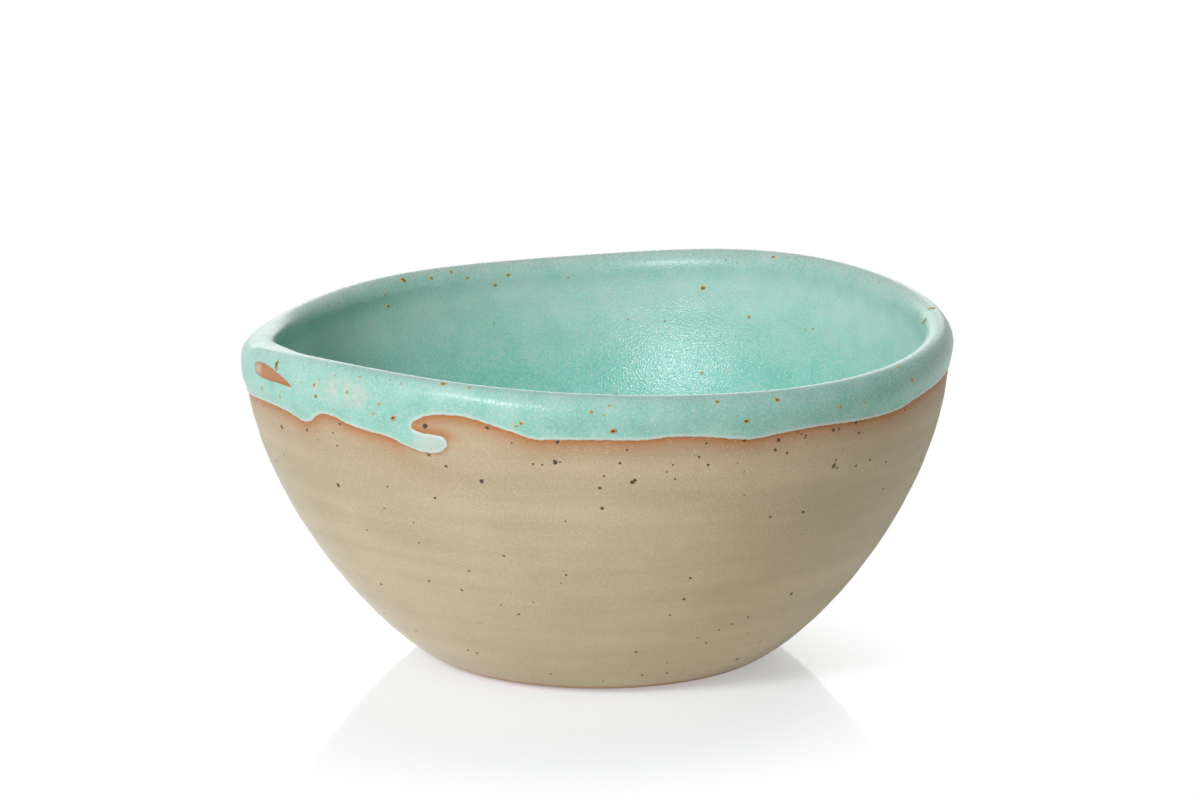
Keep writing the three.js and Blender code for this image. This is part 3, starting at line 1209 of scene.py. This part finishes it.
@dataclass
class GlazeCoat:
    """Glaze inside the bowl and over its lip, one skin with a rounded bead along its ragged lower edge."""

    section: ClaySection
    outline: GlazeOutline
    finish: GlazeFinish
    thickness: float = 0.9
    bead_height: float = 0.24
    bead_width: float = 0.42
    build_start: float = 0.2
    build_width: float = 5.0
    buried_edge: float = 0.12
    buried_back: float = 0.35
    columns: int = 512
    band_reach: float = 3.2
    insets: tuple[float, ...] = (0.03, 0.1, 0.2, 0.33, 0.5, 0.7, 0.95, 1.3, 1.8)
    inset_slack: float = 0.06
    inset_margin: float = 0.3
    fill_spacing: float = 0.95
    fill_row: float = 0.87
    fill_jitter: float = 0.07
    fill_margin: float = 0.6
    fill_gap: float = 0.4
    lap_margin: float = 8.0
    merge_distance: float = 1e-7
    lip_row: float = 0.45
    hollow_row: float = 1.15
    back_lip_row: float = 1.0
    back_row: float = 6.0
    edge_fade: Pair = (1.0, 0.25)
    # Parts of the lip's length: half the width of its crest, where wear and a painted highlight lie, and
    # where the lining begins
    crest_width: float = 0.32
    liner_start: float = 0.55
    # Depth below the lip where the well begins, and how much further down it is full
    well_start: float = 4.0
    well_depth: float = 19.0
    # Reach from which the hollow is hidden from the photograph's camera all round
    hidden_reach: float = 55.0
    thin_patch: Pair = (228.0, 0.6)
    thin_size: Pair = (13.0, 4.0)
    seed: int = 7

    def build(self, throwing: Throwing) -> bpy.types.Object:
        """Glaze mesh in its finish.

        Args:
            throwing: Wobble of the bowl.

        Returns:
            The object.
        """
        part = self.section
        azimuth = np.linspace(0, TURN, self.columns, endpoint=False)
        flat, ring, border, edges = self.band_points(azimuth)
        gap = np.where(border, 0.0, self.outline.distance(flat))
        heights = self.swelling(gap)
        top = part.round(flat[:, 1], flat[:, 0] / self.outline.lap * TURN, heights)
        front = self.wrapped_faces(flat, edges)
        front_rows = self.rows(self.lip_row, self.hollow_row)
        back_rows = self.rows(self.back_lip_row, self.back_row)
        grid_flat, grid_top = self.rings(front_rows[1:], azimuth, self.thickness)
        back_flat, grid_back = self.rings(back_rows, azimuth, -self.buried_back)
        middle = [[0, 0, part.floor_thickness + height] for height in (self.thickness, -self.buried_back)]
        points = np.vstack([top, grid_top, grid_back, middle])
        first_grid = len(top)
        first_back = first_grid + len(grid_top)
        tip = len(points) - 2
        starts = [ring[0], *range(first_grid, first_back, self.columns)]
        faces = [front]
        faces += [ring_quads(low, high, self.columns) for low, high in zip(starts, starts[1:])]
        faces.append(fan(starts[-1], tip, self.columns))
        backs = list(range(first_back, tip, self.columns))
        faces += [ring_quads(low, high, self.columns)[:, ::-1] for low, high in zip(backs, backs[1:])]
        faces.append(fan(backs[-1], tip + 1, self.columns)[:, ::-1])
        faces.append(self.back_faces(flat, ring, border, edges, first_back))
        everywhere = np.vstack([flat, grid_flat, back_flat, [[0, part.end]] * 2])
        gaps = np.concatenate([gap, np.full(len(everywhere) - len(flat), FAR)])
        coat = mesh_object("glaze_coat", points, faces, self.traits(everywhere, gaps))
        throwing.tree().grow(coat, throwing.settings(part, self.finish.material()))
        return coat

    def rows(self, lip_row: float, hollow_row: float) -> Floats:
        """Reaches of the rings over the lip and down the hollow, short of the middle of the floor.

        Args:
            lip_row: Spacing over the lip.
            hollow_row: Spacing in the hollow.

        Returns:
            The reaches, from where the ragged band ends.
        """
        part = self.section
        width, depth = part.lip_length - self.band_reach, part.end - part.lip_length
        lip = np.linspace(self.band_reach, part.lip_length, math.ceil(width / lip_row) + 1)
        hollow = np.linspace(part.lip_length, part.end, math.ceil(depth / hollow_row) + 1)
        return np.concatenate([lip, hollow[1:-1]])

    def rings(self, reach: Floats, azimuth: Floats, height: float) -> tuple[Floats, Floats]:
        """Rings of points over the clay.

        Args:
            reach: Reach of each ring.
            azimuth: Azimuth of each column, in radians.
            height: How far the rings stand out of the clay.

        Returns:
            Their flat points and their points in space.
        """
        level, way = [grid.ravel() for grid in np.meshgrid(reach, azimuth, indexing="ij")]
        flat = np.stack([way / TURN * self.outline.lap, level], axis=1)
        return flat, self.section.round(level, way, height)

    def swelling(self, gap: Floats) -> Floats:
        """Height of the glaze by its distance from the nearest edge: a bead that flattens inwards.

        Args:
            gap: Distances in millimetres.

        Returns:
            Heights over the clay, below it at the edge itself.
        """
        share = np.clip(gap / self.bead_width, 0, 1)
        bead = (self.bead_height + self.buried_edge) * np.sqrt(1 - (1 - share)**2) - self.buried_edge
        body = smooth_rise(gap, self.build_start, self.build_width)
        return bead + (self.thickness - self.bead_height) * body

    def band_points(self, azimuth: Floats) -> tuple[Floats, Counts, Flags, Counts]:
        """Flat points of the band between the ragged edge and the crown of the lip.

        Args:
            azimuth: Azimuth of each column, in radians.

        Returns:
            The points, the indices of the ring on the lip, which points are on an edge, and the edges.
        """
        plan = self.outline
        ring = np.stack([azimuth / TURN * plan.lap, np.full(self.columns, self.band_reach)], axis=1)
        groups = [ring, self.wrapped(plan.edge_line), plan.lens_line]
        starts = np.cumsum([0] + [len(group) for group in groups])
        edges = []
        for start, end in zip(starts[1:3], starts[2:4]):
            here = np.arange(start, end)
            edges.append(np.stack([here, np.roll(here, -1)], axis=1))
        for line, lap in ((plan.edge_line, plan.lap), (plan.lens_line, 0.0)):
            square = plan.normals(line, lap)
            if plan.distance(line + square * self.insets[0])[0] < 0:
                square = -square
            for inset in self.insets:
                moved = line + square * inset
                kept = np.abs(plan.distance(moved) - inset) < self.inset_slack * inset
                low = moved[:, 1] < self.band_reach - self.inset_margin
                groups.append(self.wrapped(moved[kept & low]))
        groups.append(self.fill_points())
        flat = np.vstack(groups)
        border = np.zeros(len(flat), bool)
        border[starts[1]:starts[3]] = True
        return flat, np.arange(self.columns), border, np.vstack(edges)

    def wrapped(self, points: Floats) -> Floats:
        """Flat points brought into one lap."""
        return np.stack([points[:, 0] % self.outline.lap, points[:, 1]], axis=1)

    def fill_points(self) -> Floats:
        """Slightly jumbled flat points away from every edge of the band.

        Returns:
            The points, one a row.
        """
        plan = self.outline
        lowest = plan.edge_line[:, 1].min()
        across = np.arange(0, plan.lap, plan.lap / round(plan.lap / self.fill_spacing))
        up = np.arange(lowest, self.band_reach - self.fill_margin, self.fill_spacing * self.fill_row)
        x, y = np.meshgrid(across, up, indexing="ij")
        x = x + (np.arange(len(up)) % 2) * self.fill_spacing / 2
        points = np.stack([x.ravel(), y.ravel()], axis=1)
        draws = np.random.default_rng(self.seed)
        points += draws.uniform(-self.fill_jitter, self.fill_jitter, points.shape)
        points[:, 0] %= plan.lap
        return points[plan.distance(points) > self.insets[-1] + self.fill_gap]

    def wrapped_faces(self, flat: Floats, edges: Counts) -> Counts:
        """Triangles of the glaze between flat points, across the place where the band closes on itself too.

        Args:
            flat: Flat points.
            edges: Pairs of points that stay joined.

        Returns:
            Three corners a row, seen from outside.
        """
        lap = self.outline.lap
        owners, shifts = [], []
        for turn in (-1, 0, 1):
            x = flat[:, 0] + turn * lap
            kept = np.flatnonzero((x > -self.lap_margin) & (x < lap + self.lap_margin))
            owners.append(kept)
            shifts.append(np.full(len(kept), turn))
        owner, shift = np.concatenate(owners), np.concatenate(shifts)
        spread = flat[owner] + np.stack([shift * lap, np.zeros(len(shift))], axis=1)
        index = {key: place for place, key in enumerate(zip(owner.tolist(), shift.tolist()))}
        joined = []
        for first, second in edges.tolist():
            over = round((flat[first, 0] - flat[second, 0]) / lap)
            for turn in (-1, 0, 1):
                pair = (index.get((first, turn)), index.get((second, turn + over)))
                if None not in pair:
                    joined.append(pair)
        plane = [Vector(point) for point in spread]
        _, _, triangles, sources, _, _ = delaunay_2d_cdt(plane, joined, [], 0, self.merge_distance)
        source = np.array([names[0] if names else -1 for names in sources])
        corners = source[np.array([face for face in triangles if len(face) == 3])]
        corners = corners[(corners >= 0).all(axis=1)]
        middles = spread[corners].mean(axis=1)[:, 0]
        corners = corners[(middles >= 0) & (middles < lap)]
        corners = corners[self.outline.distance(spread[corners].mean(axis=1)) > 0]
        a, b, c = (spread[corners[:, corner]] for corner in range(3))
        turn = (b[:, 0] - a[:, 0]) * (c[:, 1] - a[:, 1]) - (b[:, 1] - a[:, 1]) * (c[:, 0] - a[:, 0])
        corners[turn < 0] = corners[turn < 0][:, ::-1]
        return owner[corners]

    def back_faces(
        self, flat: Floats, ring: Counts, border: Flags, edges: Counts, first_back: int,
    ) -> Counts:
        """Triangles that close the band on the clay's side, from its edges to the buried ring under the lip.

        Args:
            flat: Flat points of the band.
            ring: Indices of the ring on the lip.
            border: Which points are on an edge.
            edges: Pairs of points that stay joined.
            first_back: Index of the buried ring's first point.

        Returns:
            Three corners a row, seen from the clay.
        """
        kept = np.concatenate([ring, np.flatnonzero(border)])
        renamed = np.full(len(flat), -1)
        renamed[kept] = np.arange(len(kept))
        corners = self.wrapped_faces(flat[kept], renamed[edges])
        target = np.where(np.arange(len(kept)) < len(ring), first_back + np.arange(len(kept)), kept)
        return target[corners][:, ::-1]

    def traits(self, flat: Floats, gap: Floats) -> dict[Trait, Floats]:
        """Attributes of the glaze's points.

        Args:
            flat: Flat points.
            gap: Distance of each from the nearest edge.

        Returns:
            Where the glaze is milky or thin, its edge line, its crest with wear and a painted highlight, its
            lining and its well with painted shade, and where its specks are scattered.
        """
        plan, lip = self.outline, self.section.lip_length
        way, reach = flat[:, 0] / plan.lap * 360, flat[:, 1]
        crown = lip / 2
        behind = np.sin(np.radians(way)) > HIDDEN_SINE
        unseen = np.where(reach < crown, behind, ~behind | (reach > self.hidden_reach))
        lens = plan.patch(flat, plan.lens_middle, plan.lens_size)
        return {
            Trait.EDGE: smooth_rise(gap, *self.edge_fade) * (1 - lens),
            Trait.CREST: np.exp(-((reach - crown) / (self.crest_width * lip))**2),
            Trait.POOL: plan.patch(flat, plan.tongue, plan.tongue_size),
            Trait.THIN: plan.patch(flat, self.thin_patch, self.thin_size),
            Trait.LINER: smooth_rise(reach, self.liner_start * lip, lip + self.well_start),
            Trait.WELL: np.clip((reach - lip - self.well_start) / self.well_depth, 0, 1),
            Trait.UNSEEN: unseen.astype(float),
        }


@dataclass(frozen=True)
class PhotoCamera:
    """Camera of the photograph, fitted to the bowl's outline: millimetres, degrees and pixels.

    Its clipping distance is in metres.
    """

    side: float = 0.27
    distance: float = 950.0
    height: float = 266.69
    pitch: float = 12.576
    focal: float = 4496.0
    picture: tuple[int, int] = (1200, 800)
    sensor: float = 36.0
    clip_end: float = 20.0

    @property
    def place(self) -> Vector:
        """Where the camera stands, in metres."""
        return Vector((self.side, -self.distance, self.height)) * MM

    def ray(self, x: float, y: float) -> Vector:
        """Direction that a pixel of the photograph looks in.

        Args:
            x: Pixels from the left.
            y: Pixels from the top.

        Returns:
            A unit vector.
        """
        pitch = math.radians(self.pitch)
        right = (x - self.picture[0] / 2) / self.focal
        up = (self.picture[1] / 2 - y) / self.focal
        ahead = Vector((0, math.cos(pitch), -math.sin(pitch)))
        above = Vector((0, math.sin(pitch), math.cos(pitch)))
        return (ahead + right * Vector((1, 0, 0)) + up * above).normalized()

    def build(self) -> bpy.types.Object:
        """Camera object, made the scene's own.

        Returns:
            The object.
        """
        data = bpy.data.cameras.new("photo_camera")
        data.sensor_fit = "HORIZONTAL"
        data.sensor_width = self.sensor
        data.lens = self.focal * self.sensor / self.picture[0]
        data.clip_end = self.clip_end
        camera = bpy.data.objects.new("photo_camera", data)
        camera.location = self.place
        camera.rotation_euler = (math.radians(90 - self.pitch), 0, 0)
        bpy.context.scene.collection.objects.link(camera)
        bpy.context.scene.camera = camera
        return camera


@dataclass
class Specks:
    """Spots of iron on one surface: the photograph's at their places, and scattered ones out of its view.

    The placed ones are pixels of the photograph and a width in millimetres.
    """

    name: str
    carrier: bpy.types.Object
    finish: SpeckFinish
    placed: Spots
    per_square_metre: float
    widths: Pair
    flatness: float
    lump: float
    seed: int
    cored_width: float = 1.0
    spread: float = 1.0
    smallness: float = 2.5
    slimness: Pair = (0.5, 0.95)
    lump_size: float = 0.7
    sides: int = 12
    rings: int = 5

    def build(self, camera: PhotoCamera) -> bpy.types.Object:
        """Specks as one mesh in their finish.

        Args:
            camera: Camera of the photograph.

        Returns:
            The object.
        """
        spots = self.spots(camera)
        specks = bpy.data.objects.new(self.name, self.carrier.data.copy())
        bpy.context.scene.collection.objects.link(specks)
        settings = {
            "Placed": spots, "Material": self.finish.material(), "Density": self.per_square_metre,
            "Least Width": self.widths[0] * MM, "Greatest Width": self.widths[1] * MM,
            "Flatness": self.flatness, "Lump": self.lump, "Seed": self.seed,
        }
        self.tree().grow(specks, settings)
        specks.data.name = self.name
        bpy.data.objects.remove(spots)
        return specks

    def spots(self, camera: PhotoCamera) -> bpy.types.Object:
        """Bare points where the photograph's specks lie on the surface.

        Args:
            camera: Camera of the photograph.

        Returns:
            An object of loose points with their facing and width.
        """
        mesh = self.carrier.data
        skin = BVHTree.FromPolygons([v.co for v in mesh.vertices], [p.vertices for p in mesh.polygons])
        found = []
        for x, y, width in self.placed:
            place, normal, _, _ = skin.ray_cast(camera.place, camera.ray(x, y))
            if place is None:
                log.warning("%s: no surface behind pixel %s, %s", self.name, x, y)
                continue
            found.append((place / MM, normal, width * MM))
        places, normals, widths = zip(*found)
        traits = {Trait.FACING: np.array(normals), Trait.GIRTH: self.spread * np.array(widths)}
        return mesh_object(f"{self.name}_spots", np.array(places), [], traits)

    def tree(self) -> GrowthTree:
        """Geometry tree that sets one flat lump on each spot.

        Returns:
            The tree, with the sizes, density and seed as named inputs.
        """
        board = GrowthTree("Specks")
        spots = board.knob("Placed", "NodeSocketObject")
        material = board.knob("Material", "NodeSocketMaterial")
        density = board.knob("Density")
        least, greatest = board.knob("Least Width"), board.knob("Greatest Width")
        flatness, lump = board.knob("Flatness"), board.knob("Lump")
        seed = board.knob("Seed", "NodeSocketInt")
        here = board.times(density, board.attribute(Trait.UNSEEN))
        feeds = {"Mesh": board.surface, "Density": here, "Seed": seed}
        strewn = board.add("GeometryNodeDistributePointsOnFaces", feeds).outputs
        small = board.math("POWER", self.chance(board, 0.0, 1.0, seed), self.smallness)
        width = board.math("MULTIPLY_ADD", board.math("SUBTRACT", greatest, least), small, least)
        loose = board.store(strewn["Points"], Trait.FACING, strewn["Normal"], "FLOAT_VECTOR")
        loose = board.store(loose, Trait.GIRTH, width)
        fixed = board.add("GeometryNodeObjectInfo", {"Object": spots}).outputs["Geometry"]
        fixed = board.add("GeometryNodeMeshToPoints", {"Mesh": fixed}).outputs[0]
        everything = board.add("GeometryNodeJoinGeometry", {0: loose})
        board.feed(everything.inputs[0], fixed)
        facing = board.attribute(Trait.FACING, "FLOAT_VECTOR")
        upright = board.add("FunctionNodeAlignRotationToVector", {"Vector": facing}, axis="Z").outputs[0]
        twist = {"Axis": (0.0, 0.0, 1.0), "Angle": self.chance(board, 0.0, TURN, seed)}
        turn = board.add("FunctionNodeAxisAngleToRotation", twist).outputs[0]
        feeds = {0: upright, 1: turn}
        turned = board.add("FunctionNodeRotateRotation", feeds, rotation_space="LOCAL").outputs[0]
        half = board.times(board.attribute(Trait.GIRTH), 0.5)
        narrow = board.times(half, self.chance(board, *self.slimness, seed))
        feeds = {0: half, 1: narrow, 2: board.times(half, flatness)}
        size = board.add("ShaderNodeCombineXYZ", feeds).outputs[0]
        feeds = {
            "Points": everything.outputs[0], "Instance": self.blob(board), "Rotation": turned, "Scale": size,
        }
        stamped = board.add("GeometryNodeInstanceOnPoints", feeds).outputs[0]
        real = board.add("GeometryNodeRealizeInstances", {0: stamped}).outputs[0]
        feeds = {"Scale": 1 / (self.lump_size * MM), "Detail": 1.0}
        noise = board.add("ShaderNodeTexNoise", feeds).outputs["Color"]
        feeds = {0: noise, 1: (0.5, 0.5, 0.5)}
        centred = board.add("ShaderNodeVectorMath", feeds, operation="SUBTRACT").outputs[0]
        feeds = {0: centred, "Scale": board.times(lump, board.attribute(Trait.GIRTH))}
        push = board.add("ShaderNodeVectorMath", feeds, operation="SCALE").outputs[0]
        uneven = board.add("GeometryNodeSetPosition", {"Geometry": real, "Offset": push}).outputs[0]
        broad = board.math("DIVIDE", board.attribute(Trait.GIRTH), self.cored_width * MM)
        cored = board.store(uneven, Trait.CORE, board.times(board.attribute(Trait.CORE), broad))
        board.close(cored, material)
        return board

    def chance(self, board: GrowthTree, low: float, high: float, seed: Any) -> bpy.types.NodeSocket:
        """Random number for each point."""
        feeds = {2: low, 3: high, "Seed": seed}
        return board.add("FunctionNodeRandomValue", feeds, data_type="FLOAT").outputs[1]

    def blob(self, board: GrowthTree) -> bpy.types.NodeSocket:
        """One round lump that knows how near its middle each point is.

        Args:
            board: Tree to build it in.

        Returns:
            Its geometry.
        """
        feeds = {"Segments": self.sides, "Rings": self.rings}
        sphere = board.add("GeometryNodeMeshUVSphere", feeds).outputs[0]
        place = board.add("GeometryNodeInputPosition").outputs[0]
        x, y, _ = board.add("ShaderNodeSeparateXYZ", {0: place}).outputs
        return board.store(sphere, Trait.CORE, board.math("SUBTRACT", 1.0, board.from_axis(x, y)))


@dataclass(frozen=True)
class SoftBox:
    """Lamp behind a diffuser, aimed at the bowl: degrees and metres."""

    name: str
    heading: float
    elevation: float
    distance: float
    size: Pair
    # Radiance of its face, where 1 is a white card
    level: float
    tint: Triple = WHITE[:3]

    def build(self, aim: Vector) -> bpy.types.Object:
        """Lamp object.

        Args:
            aim: Point that the lamp faces.

        Returns:
            The object.
        """
        data = bpy.data.lights.new(self.name, "AREA")
        data.shape = "RECTANGLE"
        data.size, data.size_y = self.size
        data.energy = self.level * math.pi * self.size[0] * self.size[1]
        data.color = self.tint
        heading, elevation = math.radians(self.heading), math.radians(self.elevation)
        level = math.cos(elevation)
        away = Vector((math.sin(heading) * level, -math.cos(heading) * level, math.sin(elevation)))
        lamp = bpy.data.objects.new(self.name, data)
        lamp.location = aim + away * self.distance
        lamp.rotation_euler = away.to_track_quat("Z", "Y").to_euler()
        lamp.visible_camera = False
        bpy.context.scene.collection.objects.link(lamp)
        return lamp


@dataclass
class Studio:
    """White floor, even white surroundings, a soft box in front to the left and a low panel behind."""

    floor_finish: FloorFinish
    ambient: float = 0.27
    ambient_tint: Rgba = (1.02, 1.0, 0.965, 1.0)
    # Side of the floor in metres, and how far it lies below the foot in millimetres
    floor_size: float = 3.0
    floor_gap: float = 0.05
    lamps: tuple[SoftBox, ...] = (
        SoftBox("key_box", heading=-36, elevation=30, distance=1.3, size=(0.36, 0.33), level=33.5,
                tint=(0.975, 0.99, 1.05)),
        SoftBox("back_panel", heading=-176, elevation=13, distance=1.6, size=(1.2, 0.5), level=1.9),
    )

    def build(self) -> None:
        """Sets the stage, the lamps and the surroundings."""
        low, high = cad_box
        floor = self.floor(low.z - self.floor_gap * MM)
        for lamp in self.lamps:
            lamp.build((low + high) / 2)
            log.info("lamp %s", lamp.name)
        self.surroundings()
        bpy.context.scene.view_settings.view_transform = "Standard"

    def floor(self, level: float) -> bpy.types.Object:
        """Plain square floor.

        Args:
            level: Its height in metres.

        Returns:
            The object.
        """
        half = self.floor_size / MM / 2
        signs = ((-1, -1), (1, -1), (1, 1), (-1, 1))
        corners = np.array([(x * half, y * half, level / MM) for x, y in signs])
        floor = mesh_object("floor", corners, [np.array([[0, 1, 2, 3]])], {})
        floor.data.materials.append(self.floor_finish.material())
        return floor

    def surroundings(self) -> None:
        """World that lights the bowl softly and looks white."""
        world = bpy.data.worlds.new("white_room")
        world.use_nodes = True
        board = NodeBoard(world.node_tree)
        seen = seen_rays(board)
        strength = board.math("MAXIMUM", seen, self.ambient)
        colour = board.mix(seen, self.ambient_tint, WHITE)
        light = board.add("ShaderNodeBackground", {"Color": colour, "Strength": strength})
        board.add("ShaderNodeOutputWorld", {"Surface": light.outputs[0]})
        bpy.context.scene.world = world


# Iron specks in the bare clay, as pixels of the photograph and widths in millimetres
CLAY_SPECKS: Spots = (
    (264, 406, 0.7), (282, 427, 1.3), (307, 430, 1.0), (318, 440, 0.5), (333, 433, 0.7),
    (340, 424, 0.9), (337, 446, 0.8), (284, 454, 0.8), (277, 461, 0.8), (296, 472, 0.4),
    (294, 493, 0.7), (338, 485, 1.3), (388, 487, 0.9), (435, 498, 0.8), (384, 508, 0.6),
    (414, 523, 0.7), (425, 426, 1.5), (487, 428, 1.1), (429, 455, 0.9), (446, 466, 0.9),
    (482, 481, 1.3), (512, 443, 0.7), (385, 450, 0.4), (327, 450, 0.35), (533, 464, 0.8),
    (542, 465, 0.7), (555, 462, 1.5), (560, 462, 0.6), (557, 442, 1.2), (600, 488, 1.0),
    (604, 476, 0.6), (602, 508, 1.0), (566, 521, 0.7), (620, 463, 0.8), (627, 450, 0.7),
    (632, 482, 1.2), (635, 480, 1.0), (667, 472, 0.6), (673, 465, 0.6), (675, 479, 0.7),
    (699, 457, 0.8), (708, 465, 0.8), (706, 443, 0.8), (738, 463, 0.6), (744, 472, 0.5),
    (744, 495, 0.5), (744, 440, 1.3), (778, 440, 1.2), (775, 450, 1.0), (787, 453, 0.9),
    (770, 517, 0.8), (798, 432, 1.0), (801, 434, 0.7), (806, 435, 0.8), (805, 438, 0.8),
    (833, 430, 1.2), (839, 429, 0.9), (856, 422, 1.3), (859, 433, 0.9), (843, 450, 0.5),
    (836, 460, 0.8), (834, 466, 1.5), (837, 468, 0.7), (856, 466, 1.0), (870, 460, 0.9),
    (886, 462, 0.7), (901, 425, 0.9), (905, 410, 0.8), (941, 397, 0.8), (883, 489, 0.8),
    (803, 512, 1.0), (802, 534, 0.4), (817, 446, 0.4), (504, 556, 0.8), (566, 575, 0.7),
    (690, 578, 1.0), (469, 571, 0.7), (429, 581, 0.9), (381, 584, 0.8), (462, 590, 0.8),
    (501, 605, 0.6), (519, 614, 0.8), (533, 602, 0.5), (561, 583, 0.5), (684, 599, 1.0),
    (670, 615, 0.7), (416, 631, 0.7), (468, 650, 0.8), (477, 653, 0.7), (480, 623, 0.4),
    (551, 674, 0.8), (603, 681, 0.7), (636, 652, 0.9), (642, 675, 0.8), (384, 613, 0.6),
    (370, 580, 0.4), (407, 602, 0.4), (791, 594, 1.2), (748, 617, 0.9), (732, 624, 0.8),
    (719, 630, 0.7), (698, 638, 0.8), (706, 643, 0.8), (760, 642, 0.9), (754, 649, 0.5),
    (748, 633, 0.5), (737, 659, 1.1), (667, 663, 0.6), (667, 673, 0.9), (684, 666, 0.6),
    (783, 611, 0.5), (367, 530, 0.7), (419, 543, 0.7),
)

# Rust specks in the glaze, as pixels of the photograph and widths in millimetres
GLAZE_SPECKS: Spots = (
    (276.5, 365.5, 1.9), (262, 388, 1.0), (280, 397, 0.8), (314, 385, 0.9), (316, 396, 1.0),
    (347, 392, 0.8), (360, 377, 0.6), (335, 376, 0.5), (327, 365, 0.5), (379, 404, 0.7),
    (373, 414, 0.7), (393, 418, 1.2), (443, 384, 1.2), (469, 388, 0.7), (483, 387, 0.6),
    (401, 384, 0.5), (390, 380, 0.5), (521, 423, 0.9), (516, 426, 0.7), (591, 412, 0.8),
    (613, 431, 1.3), (609, 406, 0.5), (717, 402, 0.9), (746, 421, 1.2), (777, 400, 1.1),
    (604, 415, 0.5), (703, 288, 1.1), (773, 257, 0.9), (749, 317, 0.8), (813, 329, 0.6),
    (805, 330, 0.5), (702, 373, 0.8), (840, 407, 0.9), (865, 403, 0.7), (912, 380, 1.0),
    (898, 367, 1.0), (931, 308, 1.4), (879, 282, 0.5), (917, 301, 0.5), (737, 263, 0.5),
    (726, 260, 0.5), (628, 319, 0.5), (665, 321, 0.5), (403, 280, 1.3), (431, 278, 0.9),
    (451, 272, 0.8), (467, 278, 0.7), (508, 275, 0.9), (495, 285, 0.9), (388, 306, 0.9),
    (436, 270, 0.5), (328, 305, 0.6), (339, 303, 0.5), (385, 295, 0.6), (494, 323, 0.5),
    (568, 278, 0.5), (301, 382, 0.5), (319, 380, 0.5), (334, 409, 0.5),
)

IRON = SpeckFinish("iron_speck", core="#46392f", halo="#574736", rim="#8f7d60", roughness=0.6)
RUST = SpeckFinish("rust_speck", core="#4a2c12", halo="#b8914a", rim="#b2bb8e", roughness=0.35,
                   core_depths=(0.45, 0.75))


def dress(piece: bpy.types.Object, slot: Slot, *solids: Solid) -> None:
    """Puts a finished piece on the frame.

    Args:
        piece: Piece to carry.
        slot: Record's material slot that it belongs to; not used.
        solids: Solids of the frame that it stands for.
    """
    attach(piece, "root")
    if solids:
        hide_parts(*[solid.value for solid in solids])
    mesh = piece.data
    mesh.calc_loop_triangles()
    log.info("%s: %d points, %d triangles", piece.name, len(mesh.vertices), len(mesh.loop_triangles))


def main() -> None:
    """Builds the bowl on its frame, and the studio round it."""
    logging.basicConfig(level=logging.INFO, format="%(name)s: %(message)s")
    log.info("frame with %s", ", ".join(sorted(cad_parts)))
    camera = PhotoCamera()
    camera.build()
    Studio(FloorFinish()).build()
    section = ClaySection()
    throwing = Throwing()
    outline = GlazeOutline(lap=TURN * section.lip_radius)
    clay = ClayBody(section, outline, ClayFinish()).build(throwing)
    dress(clay, Slot.STONEWARE, Solid.BODY)
    coat = GlazeCoat(section, outline, GlazeFinish()).build(throwing)
    dress(coat, Slot.GLAZE, Solid.LINER, Solid.RIM)
    iron = Specks("iron_specks", clay, IRON, CLAY_SPECKS, per_square_metre=11000, widths=(0.35, 1.5),
                  flatness=0.14, lump=0.4, seed=3, spread=0.85)
    dress(iron.build(camera), Slot.STONEWARE)
    rust = Specks("rust_specks", coat, RUST, GLAZE_SPECKS, per_square_metre=6500, widths=(0.6, 2.0),
                  flatness=0.12, lump=0.2, seed=5, spread=1.3, cored_width=1.5)
    dress(rust.build(camera), Slot.GLAZE)


if __name__ == "__main__":
    main()
